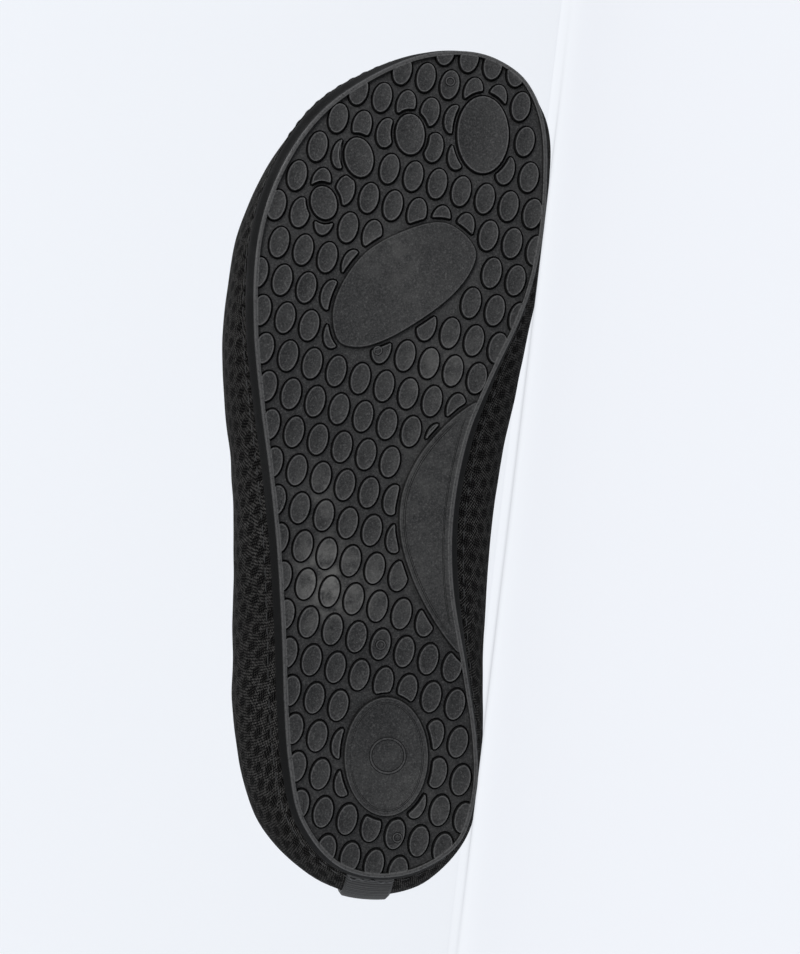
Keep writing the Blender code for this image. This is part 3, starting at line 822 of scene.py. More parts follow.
def tread_skin():
    """The pocket's floor with a groove round each raised part, closed at the back."""
    loop, normal, column = stations(SIDE)
    border = loop - normal * SHEET_INSET
    limit = loop - normal * GROOVE_INSET
    outlines = tread_outlines()
    skin = Skin()
    # the floor's ring by the rim carries a faint painted shade, and the sheet's back a darker one
    edge = skin.ring(border, TREAD_DEPTH, -0.15)
    starts, holes = [], []
    for kind, outline in outlines:
        wide = grown(outline, profile_of(kind)[0][0])
        for i in np.nonzero(~inside(wide, limit)[0])[0]:
            wide[i] = limit[np.argmin(np.linalg.norm(limit - wide[i], axis=1))]
        holes.append(wide)
        starts.append(skin.ring(wide, TREAD_DEPTH, LUG_PROFILE[0][2]))
    index = np.array(edge + [i for ring in starts for i in ring])
    for face in filled([border], holes):
        skin.faces.append(tuple(int(i) for i in index[face]))
    for (kind, outline), ring in zip(outlines, starts):
        last = ring
        lower = 0.0 if kind == "oval" else 0.00002
        for out, height, tone in profile_of(kind)[1:]:
            following = skin.ring(grown(outline, out), height + lower, tone)
            skin.band(last, following)
            last = following
        if kind in ("oval", "pad", "wide"):
            skin.cap(last)
        else:
            skin.fill(last)
    back = skin.ring(border, TREAD_DEPTH + SHEET_BACK, -0.5)
    skin.band(edge, back)
    skin.fill(back)
    return skin


SIDE_PROFILE = (
    # out from the rim's line, share of the flare, height, tone, tone where the wall stands wide; the
    # tones paint shade on the pocket's inner wall and the sidewall, less where the toe's wall stands
    # wide, and a highlight on the rim
    (-RIM_WIDTH, 0.0, TREAD_DEPTH + 0.0003, -1.0, -1.0),
    (-RIM_WIDTH, 0.0, 0.00048, -0.9, -0.9),
    (-RIM_WIDTH + 0.00004, 0.0, 0.00016, 0.2, 0.2),
    (-RIM_WIDTH + 0.00015, 0.0, 0.00003, 1.0, 1.0),
    (-0.00054, 0.0, -0.00003, 0.45, 0.45),
    (-0.00030, 0.0, 0.00003, 0.7, 0.7),
    (-0.00014, 0.0, 0.00006, 1.0, 1.0),
    (0.0, 0.0, EDGE_CHAMFER, 0.3, 0.4),
    (0.0, 0.06, 0.0006, -0.95, -0.55),
    (0.0, 0.26, 0.0012, -1.0, -0.75),
    (0.0, 0.55, 0.0022, -1.0, -0.8),
    (0.0, 0.80, 0.0030, -1.0, -0.85),
    (0.0, 0.955, 0.0040, -1.0, -0.9),
    (0.0, 1.0, SOLE_THICK - 0.00030, -0.95, -0.8),
    (-0.00010, 1.0, SOLE_THICK - 0.00008, -0.95, -0.8),
    (-0.00034, 1.0, SOLE_THICK, -0.8, -0.5),
)


def side_skin():
    """The sole's body: pocket, rim, sidewall and top, with painted shade on the sidewall and a painted
    highlight on the rim.
    """
    loop, normal, column = stations(SIDE)
    flare = SIDE_FLARE * column["flare"]
    wide = np.clip((loop[:, 1] / LENGTH - WIDE_WALL_START) / WIDE_WALL_FADE, 0, 1)
    wide *= np.clip((column["flare"] - WIDE_WALL_FLARE) / WIDE_WALL_FLARE, 0, 1)
    flare = flare * (1 - TOE_WALL_SLIMMER * wide)
    skin = Skin()
    rings = []
    for out, share, height, tone, wide_tone in SIDE_PROFILE:
        plan = loop + normal * (out + flare * share)[:, None]
        rings.append(skin.ring(plan, height, tone + (wide_tone - tone) * wide))
    for low, high in zip(rings, rings[1:]):
        skin.band(low, high)
    skin.fill(rings[0])
    skin.fill(rings[-1])
    return skin


# Round ridges on the tread: the one on the heel pad, and the small ones that moulding leaves
Ridge = namedtuple("Ridge", "across along radius wide high sides tone")
RIDGES = (
    Ridge(0.0186, 0.0316, 0.00352, 0.00046, 0.00020, 56, 0.5),
    Ridge(0.0222, 0.1709, 0.00086, 0.00036, 0.00022, 24, 0.6),
    Ridge(0.0228, 0.0539, 0.00086, 0.00036, 0.00022, 24, 0.6),
    Ridge(0.0146, 0.0152, 0.00086, 0.00036, 0.00022, 24, 0.6),
    Ridge(0.0308, 0.1134, 0.00076, 0.00036, 0.00022, 24, 0.6),
)
LUG_TOP = 0.00008


def small_ring(skin, x, y, radius, wide, high, sides, tone):
    """A low round ridge on top of a raised part, its foot sunk in, with painted shade at its foot and
    a painted highlight on its crest.
    """
    unit = unit_circle(sides)
    half = (
        (wide / 2 + 0.00010, LUG_TOP + 0.0002, -1.0), (wide / 2 + 0.00010, LUG_TOP - 0.00002, -1.0),
        (wide / 2, LUG_TOP - high * 0.3, -0.7), (wide * 0.3, LUG_TOP - high, tone),
    )
    profile = half + tuple((-out, z, shade) for out, z, shade in reversed(half))
    centre = np.array([x, y])
    rings = [skin.ring(centre + unit * (radius + out), z, shade) for out, z, shade in profile]
    for low, high_ring in zip(rings, rings[1:] + rings[:1]):
        skin.band(low, high_ring)


def sideways(line):
    """Unit directions square to an open run of plan points, to its left."""
    run = unit(np.gradient(line, axis=0))
    return np.column_stack([-run[:, 1], run[:, 0]])


def bead(skin, line, wide, high):
    """A low raised line along an open run of plan points, with painted shade at its foot and a painted
    highlight on its crest.
    """
    side = sideways(line)
    share = np.linspace(0, 1, len(line))
    taper = np.clip(np.minimum(share, 1 - share) * 14, 0.15, 1)[:, None]
    half = (
        (wide * 0.8, 0.0002, -1.0), (wide * 0.8, -0.00002, -1.0),
        (wide * 0.45, -high * 0.5, -0.6), (wide * 0.2, -high, 0.3),
    )
    rows = []
    for out, z, shade in half + tuple((-out, z, shade) for out, z, shade in reversed(half)):
        height = LUG_TOP + (z if z > 0 else 0) + np.where(z < 0, z * taper[:, 0], 0)
        rows.append(skin.ring(line + side * out * taper, height, shade))
    for low, high_row in zip(rows, rows[1:] + rows[:1]):
        for i in range(len(line) - 1):
            skin.faces.append((low[i], low[i + 1], high_row[i + 1], high_row[i]))
    skin.faces.append(tuple(row[0] for row in rows))
    skin.faces.append(tuple(row[-1] for row in reversed(rows)))


# Where dust and scuffs lie: across, along, half across, half along, strength
DUST = (
    (0.0365, 0.0665, 0.0045, 0.0085, 1.0),
    (0.0300, 0.0640, 0.0080, 0.0060, 0.5),
    (0.0390, 0.0830, 0.0040, 0.0050, 0.4),
    (0.0170, 0.1130, 0.0060, 0.0050, 0.45),
    (0.0300, 0.1340, 0.0070, 0.0050, 0.35),
    (0.0200, 0.0900, 0.0120, 0.0300, 0.18),
    (0.0120, 0.0250, 0.0100, 0.0120, 0.2),
)


def dust_at(points):
    """How much dust lies at each point of the tread, in shoe axes."""
    total = np.zeros(len(points))
    for x, y, a, b, strength in DUST:
        far = ((points[:, 0] - x) / a) ** 2 + ((points[:, 1] - y) / b) ** 2
        total += strength * np.exp(-far)
    return total


def build_outsole():
    """The pocket's sheet with all raised parts, rings and beads, and the sole's body behind it."""
    tread = tread_skin()
    for ridge in RIDGES:
        small_ring(tread, *ridge)
    heel = PADS[-1]
    inset, wide, high = HEEL_BEAD
    line = ellipse_points(
        heel.across * SOLE_WIDTH, heel.along * LENGTH,
        heel.half_wide - inset, heel.half_long - inset, heel.lean, 120,
    )
    bead(tread, np.vstack([line, line[:2]]), wide, high)
    loop, normal, column = stations(RIM_STEPS)
    inset, wide, high = ARCH_BEAD
    edge = smooth_edge(ARCH_EDGE, False, 200)
    line = edge + outward_run(edge) * inset
    bead(tread, line[inside(line, loop - normal * (RIM_WIDTH + BEAD_END))[0]], wide, high)
    inset, wide, high = RIM_BEAD
    line = loop - normal * (RIM_WIDTH + inset)
    lens = arch_panel()
    lying = inside(line, lens - outward(lens) * PANEL_EDGE)[0]
    start = int(np.argmax(lying & ~np.roll(lying, 1)))
    bead(tread, np.roll(line, -start, axis=0)[: int(lying.sum())], wide, high)
    for name, skin in (("outsole_tread", tread), ("outsole_body", side_skin())):
        mesh = skin.mesh(name)
        at = np.array([v.co for v in mesh.vertices])
        dust = mesh.attributes.new("dust", "FLOAT", "POINT")
        dust.data.foreach_set("value", dust_at(at).astype(np.float32))
        show(name, mesh, [RUBBER])
    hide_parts("outsole")
    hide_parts("outsole")


def outward_run(line):
    """Unit sideways directions of an open run, on the side towards the medial edge."""
    side = sideways(line)
    return -side if side[len(side) // 2, 0] > 0 else side


HEM_ROWS = (
    # share of the hem's width, share of its step
    (0.0, 0.0), (0.012, 0.55), (0.035, 0.9), (0.07, 1.0), (0.13, 1.0), (0.17, 0.93), (0.20, 0.70),
    (0.235, 0.70), (0.265, 0.93), (0.31, 1.0), (0.42, 1.0), (0.53, 1.0), (0.62, 1.0), (0.655, 0.93),
    (0.69, 0.72), (0.725, 0.93), (0.76, 1.0), (0.84, 1.0), (0.92, 1.0), (1.0, 1.0),
)


def skin_rows(count):
    """The upper's outer face in fine rows, and how far the hem's step lifts each of them."""
    loop, normal, column = stations(count)
    plain, raised = [], []
    for i in range(count):
        edge, low, high, span, face = wall_curves(loop, normal, column, i)
        hem = 1 - HEM_WIDTH / span
        last = 1 - WALL * 0.45 / span
        rows = [on_sole(edge - normal[i] * LIP), on_sole(edge - normal[i] * LIP * 0.5)]
        rows += [bezier(*low, t) for t in np.linspace(0, 1, LOW_ROWS)]
        rows += [bezier(*high, hem * t) for t in np.linspace(0, 0.985, HIGH_ROWS)[1:]]
        lifts = [np.zeros(3)] * len(rows)
        for share, step in HEM_ROWS:
            rows.append(bezier(*high, hem + (last - hem) * share))
            lifts.append(face * HEM_STEP * step)
        plain.append(rows)
        raised.append(lifts)
    return np.array(plain), np.array(raised)


def skin_normals(grid):
    """Unit normals of a closed skin of rows, pointing out of the shoe."""
    around = np.roll(grid, -1, axis=0) - np.roll(grid, 1, axis=0)
    up = np.gradient(grid, axis=1)
    n = np.cross(around, up)
    n /= np.maximum(np.linalg.norm(n, axis=2), 1e-12)[:, :, None]
    middle = grid.mean(axis=(0, 1))
    wide = n[:, 2 + LOW_ROWS]
    away = grid[:, 2 + LOW_ROWS] - middle
    if float(np.sum(wide * away)) < 0:
        n = -n
    return n


# Unevenness of the cloth, and the gather below the hem
UNEVEN = 0.00042
GATHER_PITCH = 0.0052
GATHER_HIGH = 0.00011

CREASES = (
    # two ends in shoe axes, depth, half width
    ((0.0060, 0.1170, 0.0330), (0.0330, 0.1080, 0.0440), 0.00055, 0.0030),
    ((0.0520, 0.1150, 0.0300), (0.0330, 0.1050, 0.0430), 0.00055, 0.0032),
    ((0.0080, 0.1290, 0.0280), (0.0380, 0.1240, 0.0370), 0.00045, 0.0034),
    ((0.0620, 0.0900, 0.0200), (0.0530, 0.0850, 0.0370), 0.00050, 0.0040),
    ((0.0600, 0.0330, 0.0330), (0.0520, 0.0480, 0.0200), 0.00045, 0.0036),
    ((0.0010, 0.0600, 0.0280), (0.0060, 0.0480, 0.0150), 0.00045, 0.0036),
    ((0.0020, 0.0920, 0.0240), (0.0050, 0.1020, 0.0380), 0.00045, 0.0036),
)


def soft_shape(grid, normals, length):
    """Slight unevenness of the cloth, the gather below the hem, and a few creases."""
    flat = grid.reshape(-1, 3)
    rough = np.array([
        noise.noise(Vector(p * 62.0)) * 0.62 + noise.noise(Vector(p * 150.0 + 7.0)) * 0.26
        for p in flat
    ]).reshape(grid.shape[:2])
    move = rough * UNEVEN
    for a, b, depth, wide in CREASES:
        a, b = np.array(a), np.array(b)
        run = b - a
        t = np.clip((flat - a) @ run / (run @ run), 0, 1)
        far = np.linalg.norm(flat - a - t[:, None] * run, axis=1).reshape(grid.shape[:2])
        fade = np.sin(np.pi * np.clip(t * 0.9 + 0.05, 0, 1)).reshape(grid.shape[:2])
        move -= depth * np.exp(-(far / wide) ** 2) * fade
        move += depth * 0.45 * np.exp(-((far - wide * 1.5) / wide) ** 2) * fade
    hem_row = HEM_ROW - 1
    to_hem = length[:, hem_row][:, None] - length
    around = spaced(grid[:, hem_row])[:-1]
    wave = np.sin(around * 2 * np.pi / GATHER_PITCH + 1.4 * np.sin(around * 2 * np.pi / 0.031))
    gather = np.exp(-((to_hem - 0.0012) / 0.0016) ** 2) * (to_hem > -0.0005)
    move += wave[:, None] * gather * GATHER_HIGH
    low = np.clip((length - 0.0052) / 0.006, 0, 1)
    above = np.clip((to_hem - 0.0002) / 0.003, 0, 1)
    window = low * low * (3 - 2 * low)
    keep = np.where(to_hem > 0.004, 1.0, above)
    move = move * window * np.where(np.abs(wave[:, None] * gather) > 1e-4, 1.0, keep)
    inner = np.arange(grid.shape[1]) > hem_row
    move[:, inner] = 0
    return grid + normals * move[:, :, None]


def build_upper():
    """The wall of cloth, turned in at the bottom and folded over at the collar."""
    plain, raised = skin_rows(FINE)
    normals = skin_normals(plain)
    steps = np.linalg.norm(np.diff(plain, axis=1), axis=2)
    base = soft_shape(plain, normals, summed(steps, axis=1))
    outer = press(base + raised, PLANE)
    loop, normal, edge = foot_line(FINE)
    bottom = SOLE_THICK + GAP
    lift = spring(edge[:, 1])
    corner = np.column_stack([edge - normal * WALL, bottom + lift + WALL])
    inner = press(base, PLANE) - normals * WALL
    height = outer[:, :, 2] - (bottom + lift)[:, None]
    for k in range(outer.shape[1] // 2):
        if k < 2:
            inner[:, k] = outer[:, k] + np.array([0, 0, WALL])
            continue
        short = (height[:, k] < WALL * 1.05)[:, None]
        inner[:, k] = np.where(short, corner, inner[:, k])
    top_out = outer[:, -1]
    top_in = inner[:, -1]
    middle = (top_out + top_in) / 2
    side = (top_out - top_in) / 2
    up = unit(outer[:, -1] - outer[:, -2])
    turns = []
    for k in range(1, EDGE_TURNS):
        angle = math.pi * k / EDGE_TURNS
        turns.append(middle + side * math.cos(angle) + up * WALL * 0.5 * math.sin(angle))
    rows = [outer[:, k] for k in range(outer.shape[1])]
    rows += turns
    rows += [inner[:, k] for k in reversed(range(inner.shape[1]))]
    faces = quads(len(rows), FINE, closed=True)
    mesh = made_mesh("upper_shell", np.array(rows).reshape(-1, 3).tolist(), faces)
    row = np.arange(len(faces)) // FINE
    kinds = (row >= HEM_ROW - 1).astype(np.int32)
    kinds += row >= outer.shape[1] + EDGE_TURNS - 1 + len(HEM_ROWS) - 4
    mesh.polygons.foreach_set("material_index", kinds)
    pattern_map(mesh, outer)
    turn_out(mesh, weld=1e-7)
    obj = show("upper_shell", mesh, [MESH_CLOTH, HEM_CLOTH, LINING], sharp=50)
    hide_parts("upper")
    return outer, inner, turns


def pattern_map(mesh, outer):
    """A map of the outer cloth as it was cut: u along the cloth and v up it, in metres."""
    count, rows = outer.shape[:2]
    place = np.zeros((count + 1, rows, 2))
    around = np.linalg.norm(np.roll(outer, -1, axis=0) - outer, axis=2)
    up = summed(np.linalg.norm(np.diff(outer, axis=1), axis=2), axis=1)
    total = around.sum(axis=0)
    level = 2 + LOW_ROWS
    mean_up = up.mean(axis=0)
    narrowing = (total[level] - total[HEM_ROW]) / (mean_up[HEM_ROW] - mean_up[level])
    radius = total[level] / max(narrowing, 1e-3)
    run = summed(around)
    for k in range(rows):
        angle = (run[:, k] / total[k] - 0.5) * narrowing
        r = radius - (np.concatenate([up[:, k], up[:1, k]]) - mean_up[level])
        place[:, k, 0] = r * np.sin(angle)
        place[:, k, 1] = r * np.cos(angle) - radius
    layer = mesh.uv_layers.new(name="cloth")
    coords = np.zeros((len(mesh.loops), 2), np.float32)
    total_rows = len(mesh.vertices) // count
    for polygon in mesh.polygons:
        for corner in polygon.loop_indices:
            row, column = divmod(mesh.loops[corner].vertex_index, count)
            if column == 0 and polygon.index % count == count - 1:
                column = count
            if row >= rows:
                row = min(max(total_rows - 1 - row, 0), rows - 1)
            coords[corner] = place[column, row]
    layer.data.foreach_set("uv", coords.ravel())


def tube(points, faces, path, radii, sides=5):
    """A thin closed thread along a run of points."""
    path = np.asarray(path)
    run = unit(np.gradient(path, axis=0))
    guide = np.array([0.31, 0.17, 0.93])
    start = len(points)
    for p, d, r in zip(path, run, radii):
        a = np.cross(d, guide)
        a /= np.linalg.norm(a)
        b = np.cross(d, a)
        for k in range(sides):
            angle = TURN * k / sides
            points.append(tuple(p + (a * math.cos(angle) + b * math.sin(angle)) * r))
    faces += quads(len(path), sides, start)
    faces.append(tuple(start + i for i in reversed(range(sides))))
    end = start + (len(path) - 1) * sides
    faces.append(tuple(end + i for i in range(sides)))


# Rows of stitches: name, row of the fine skin, pitch, length, radius, how far they stand out
STITCHES = (
    ("hem_stitches", HEM_ROW + 7, 0.0026, 0.0020, 0.00017, 0.00020),
    ("hem_stitches_upper", HEM_ROW + 14, 0.0026, 0.0020, 0.00017, 0.00020),
    ("sole_stitches", 4, 0.0030, 0.0022, 0.00013, 0.00006),
)


def stitches(name, line, normals, pitch, length, radius, proud):
    """A row of stitches along a closed line on the cloth."""
    at = spaced(line)
    closed = np.vstack([line, line[:1]])
    facing = np.vstack([normals, normals[:1]])
    count = int(round(at[-1] / pitch))
    points, faces = [], []
    for s in range(count):
        middle = (s + 0.5) * at[-1] / count
        t = np.linspace(middle - length / 2, middle + length / 2, 7) % at[-1]
        path = np.column_stack([np.interp(t, at, closed[:, k]) for k in range(3)])
        face = np.column_stack([np.interp(t, at, facing[:, k]) for k in range(3)])
        arch = np.sin(np.linspace(0, math.pi, 7))
        path = path + face * (proud * arch - radius * 0.9 * (1 - arch))[:, None]
        path = press(path, (PLANE[0], PLANE[1], PLANE[2] + radius))
        tube(points, faces, path, radius * (0.55 + 0.45 * arch))
    show(name, made_mesh(name, points, faces), [THREAD], sharp=None)


# Columns of the skin that the tape reaches to each side, and rows that it goes down inside
TAPE_REACH = 14
TAPE_FOLD = 13


def build_tape(outer, inner, turns):
    """Ribbed tape over the heel's seam, folded in over the collar's edge, and a line of set glue."""
    order = list(range(-TAPE_REACH, TAPE_REACH + 1))
    lines = [outer[:, k] for k in range(2, outer.shape[1])]
    lines += turns
    lines += [inner[:, k] for k in reversed(range(inner.shape[1] - TAPE_FOLD, inner.shape[1]))]
    half = TAPE_WIDTH / 2
    across = np.linspace(-half, half, 17)
    rows = []
    for line in lines:
        near = line[order]
        at = summed(np.linalg.norm(np.diff(near, axis=0), axis=1))
        at -= at[TAPE_REACH]
        rows.append(np.column_stack([np.interp(across, at, near[:, k]) for k in range(3)]))
    rows = np.array(rows)
    steps = np.linalg.norm(np.diff(rows[:, 8], axis=0), axis=1)
    rows = rows[np.concatenate([[True], steps > 1e-6])]
    for _ in range(3):
        rows[1:-1] = rows[1:-1] * 0.5 + (rows[:-2] + rows[2:]) * 0.25
    at = summed(np.linalg.norm(np.diff(rows[:, 8], axis=0), axis=1))
    count = int(at[-1] / 0.00014)
    t = np.linspace(0, at[-1], count)
    fine = np.zeros((count, len(across), 3))
    for j in range(len(across)):
        for k in range(3):
            fine[:, j, k] = np.interp(t, at, rows[:, j, k])
    n = np.cross(np.gradient(fine, axis=1), np.gradient(fine, axis=0))
    n /= np.maximum(np.linalg.norm(n, axis=2), 1e-12)[:, :, None]
    if n[count // 4, 8, 1] > 0:
        n = -n
    for _ in range(10):
        n[1:-1] = n[1:-1] * 0.5 + (n[:-2] + n[2:]) * 0.25
    n = unit(n)
    rib = 0.5 - 0.5 * np.cos(TURN * t / TAPE_RIB)
    ends = np.clip(np.minimum(t, at[-1] - t) / 0.0006, 0, 1)
    side = 1 - np.clip((np.abs(across) - half + 0.0005) / 0.0005, 0, 1) ** 2 * 0.5
    thick = (TAPE_THICK * 0.62 + RIB_HIGH * rib)[:, None] * side[None, :]
    thick = thick * (0.45 + 0.55 * ends)[:, None]
    face = fine + n * (GAP * 0.4 + thick)[:, :, None]
    back = fine + n * 0.00004
    points = np.concatenate([face, back[:, ::-1]], axis=1)
    columns = points.shape[1]
    faces = quads(count, columns)
    faces.append(tuple(range(columns)))
    faces.append(tuple((count - 1) * columns + c for c in reversed(range(columns))))
    woven = len(faces)
    all_points = [tuple(p) for p in points.reshape(-1, 3)]

    def on_face(r, c, k):
        """One coordinate of the tape's face at a row and a place across it."""
        column = [np.interp(r, range(count), face[:, j, k]) for j in range(len(across))]
        return np.interp(c, across, column)

    share = np.linspace(0, 1, 49)
    row = 5 + 1.6 * np.sin(share * 9.0) + 0.9 * np.sin(share * 23.0 + 1.0)
    places = zip(row, across[0] + share * (across[-1] - across[0]))
    line = np.array([[on_face(r, c, k) for k in range(3)] for r, c in places])
    radii = 0.00019 + 0.00007 * np.sin(share * 31.0) + 0.00004 * np.sin(share * 57.0 + 2.0)
    tube(all_points, faces, line, radii * np.clip(np.minimum(share, 1 - share) * 12, 0.25, 1), 8)
    mesh = made_mesh("heel_ribbon", all_points, faces)
    kinds = np.zeros(len(faces), np.int32)
    kinds[woven:] = 1
    mesh.polygons.foreach_set("material_index", kinds)
    turn_out(mesh)
    run = mesh.attributes.new("run", "FLOAT", "POINT")
    values = np.zeros(len(all_points), np.float32)
    values[:count * columns] = np.repeat(t, columns)
    run.data.foreach_set("value", values)
    obj = show("heel_ribbon", mesh, [TAPE_CLOTH, GLUE], sharp=None)
    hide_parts("heel_tape")


def build_insole():
    """The foam sock: rounded edge, slightly dished, with its own cloth."""
    grid = upper_grid(180, tuple(np.linspace(0, 1, 9)), tuple(np.linspace(0.05, 0.85, 8)))
    grid = press(grid, PLANE)
    loop, normal, edge = foot_line(180)
    within = edge - normal * (LIP + INSOLE_ROOM)
    low = SOLE_THICK + GAP
    seat = low + WALL + GAP
    top = seat + INSOLE_THICK
    foot = wall_inside(grid, seat)
    face = wall_inside(grid, top)
    spine_y = np.clip(face[:, 1], SPINE_HEEL, LENGTH - SPINE_TOE)
    mids = []
    for y in spine_y:
        order = np.argsort(np.abs(face[:, 1] - y))[:6]
        mids.append((face[order, 0].min() + face[order, 0].max()) / 2)
    spine = np.column_stack([mids, spine_y])
    skin = Skin()
    rings = [
        skin.ring(within, low),
        skin.ring(within, seat),
        skin.ring(foot - normal * 0.0002, seat),
        skin.ring(foot * 0.35 + face * 0.65, seat + INSOLE_THICK * 0.65),
        skin.ring(face - normal * 0.00012, top + 0.00005),
        skin.ring(face - normal * 0.0006, top + 0.00030),
        skin.ring(face - normal * SOCK_EDGE, top + SOCK_HIGH),
    ]
    for share in (0.10, 0.20, 0.32, 0.46, 0.62, 0.80):
        plan = (face - normal * SOCK_EDGE) * (1 - share) + spine * share
        rings.append(skin.ring(plan, top + SOCK_HIGH - SOCK_DISH * math.sin(share * math.pi / 2)))
    for a, b in zip(rings, rings[1:]):
        skin.band(a, b)
    skin.fill(rings[0])
    skin.fill(rings[-1])
    obj = show("insole_sock", skin.mesh("insole_sock"), [SOCK], sharp=50)
    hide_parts("insole")


def placing(plane):
    """How the shoe's own axes lie in the row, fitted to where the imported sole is."""
    turn, tilt, level = plane
    up = Vector((1, turn, tilt)).normalized()
    toe = (Vector((0, 1, 0)) - up * up.y).normalized()
    deep = up.cross(toe)
    rotation = np.array(Matrix((toe, deep, up)))
    loop, normal, column = stations(RING)
    flare = (SIDE_FLARE * column["flare"])[:, None]
    rings = ((0.0, loop - normal * EDGE_CHAMFER), (EDGE_CHAMFER, loop),
             (SOLE_THICK * 0.62, loop + normal * flare * 0.78), (SOLE_THICK, loop + normal * flare))
    corners = np.vstack([np.column_stack([p, z + spring(p[:, 1])]) for z, p in rings]) @ rotation.T
    low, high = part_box("outsole")
    move = (np.array(low) + np.array(high) - corners.min(axis=0) - corners.max(axis=0)) / 2
    place = Matrix(rotation.tolist()).to_4x4()
    place.translation = Vector(move.tolist())
    return place


class Graph:
    """A short way to write a material's nodes."""

    def __init__(self, name):
        self.material = bpy.data.materials.new(name)
        self.material.use_nodes = True
        self.tree = self.material.node_tree
        self.shader = self.tree.nodes["Principled BSDF"]

    def set(self, socket, value):
        if hasattr(value, "is_output"):
            self.tree.links.new(value, socket)
        else:
            socket.default_value = value

    def add(self, kind, inputs=(), out=0, **settings):
        """A new node with its settings and inputs; gives back one of its outputs."""
        made = self.tree.nodes.new("ShaderNode" + kind)
        for key, value in settings.items():
            setattr(made, key, value)
        for key, value in dict(inputs).items():
            self.set(made.inputs[key], value)
        return made.outputs[out]

    def math(self, operation, a, b=0.0, clamp=False):
        return self.add("Math", {0: a, 1: b}, operation=operation, use_clamp=clamp)

    def times(self, a, b):
        return self.math("MULTIPLY", a, b)

    def plus(self, a, b):
        return self.math("ADD", a, b)

    def minus(self, a, b):
        return self.math("SUBTRACT", a, b)

    def length(self, a, b):
        return self.math("SQRT", self.plus(self.times(a, a), self.times(b, b)))

    def wave(self, value, length, kind="SINE"):
        return self.math(kind, self.times(value, TURN / length))

    def step(self, value, low, high, start=0.0, end=1.0):
        given = {"Value": value, "From Min": low, "From Max": high, "To Min": start, "To Max": end}
        return self.add("MapRange", given, interpolation_type="SMOOTHSTEP")

    def noise(self, place, scale, detail=2.0, rough=0.5):
        given = {"Vector": place, "Scale": scale, "Detail": detail, "Roughness": rough}
        return self.add("TexNoise", given, "Fac")

    def mix(self, share, a, b):
        a, b = [(*c, 1) if isinstance(c, tuple) else c for c in (a, b)]
        return self.add("Mix", {0: share, 6: a, 7: b}, 2, data_type="RGBA", clamp_factor=True)

    def object_place(self):
        return self.add("TexCoord", out="Object")

    def split(self, place):
        made = self.tree.nodes.new("ShaderNodeSeparateXYZ")
        self.tree.links.new(place, made.inputs[0])
        return list(made.outputs)

    def cloth_place(self):
        """The place on the cloth as it was cut, along it and up it, in millimetres."""
        return [self.times(part, MM) for part in self.split(self.add("UVMap", uv_map="cloth"))[:2]]

    def value(self, name):
        return self.add("Attribute", out="Fac", attribute_name=name)

    def bump(self, height, distance, strength):
        return self.add("Bump", {"Strength": strength, "Distance": distance, "Height": height})

    def finish(self, colour, rough, normal=None, **fixed):
        if isinstance(colour, tuple):
            colour = (*colour, 1)
        self.set(self.shader.inputs["Base Color"], colour)
        self.set(self.shader.inputs["Roughness"], rough)
        if normal is not None:
            self.tree.links.new(normal, self.shader.inputs["Normal"])
        for key, value in fixed.items():
            self.shader.inputs[key.replace("_", " ")].default_value = value
        return self.material


def rubber():
    """Moulded black rubber: fine grain, cloudy bloom, painted highlight on raised edges and the rim,
    painted shade in grooves and on the sidewall, dust in places.
    """
    g = Graph("moulded_rubber")
    place = g.object_place()
    tone = g.value("tone")
    dust = g.value("dust")
    cloud = g.noise(place, 75.0, 4.0, 0.62)
    fine = g.noise(place, 2300.0, 3.0, 0.72)
    grain = g.noise(place, 4200.0, 2.0, 0.6)
    smear = g.noise(place, 330.0, 4.0, 0.65)
    base = g.mix(g.step(cloud, 0.34, 0.68), (0.0045, 0.0045, 0.0047), (0.0150, 0.0149, 0.0148))
    # painted highlight: a lighter colour where the tone is above nought, on the top edges of lugs,
    # pads, rings, beads and the rim
    painted_edge_highlight = g.step(tone, 0.1, 1.0)
    # painted shade: where the tone is below nought, in the grooves, on the walls of raised parts and
    # on the sole's sidewall
    low = g.step(tone, -0.1, -0.9)
    base = g.mix(g.times(painted_edge_highlight, 0.80), base, (0.075, 0.074, 0.073))
    base = g.mix(g.step(grain, 0.44, 0.60, 0.0, 0.55), base, (0.030, 0.0296, 0.0292))
    base = g.mix(g.step(fine, 0.53, 0.68, 0.0, 0.55), base, (0.060, 0.059, 0.0575))
    base = g.mix(g.step(fine, 0.47, 0.34, 0.0, 0.75), base, (0.0018, 0.0018, 0.0018))
    scuffed = g.math("MULTIPLY", dust, g.step(smear, 0.34, 0.66), clamp=True)
    base = g.mix(g.times(scuffed, 0.62), base, (0.130, 0.127, 0.120))
    # the painted shade is mixed in as a near-black colour
    base = g.mix(g.times(low, 0.99), base, (0.0004, 0.0004, 0.0004))
    rough = g.plus(g.step(cloud, 0.3, 0.7, 0.40, 0.58), g.times(scuffed, 0.18))
    rough = g.plus(rough, g.times(low, 0.48))
    height = g.plus(g.times(fine, 0.8), g.times(grain, 0.6))
    normal = g.bump(height, 0.00012, 0.8)
    return g.finish(base, rough, normal, Specular_IOR_Level=0.20)


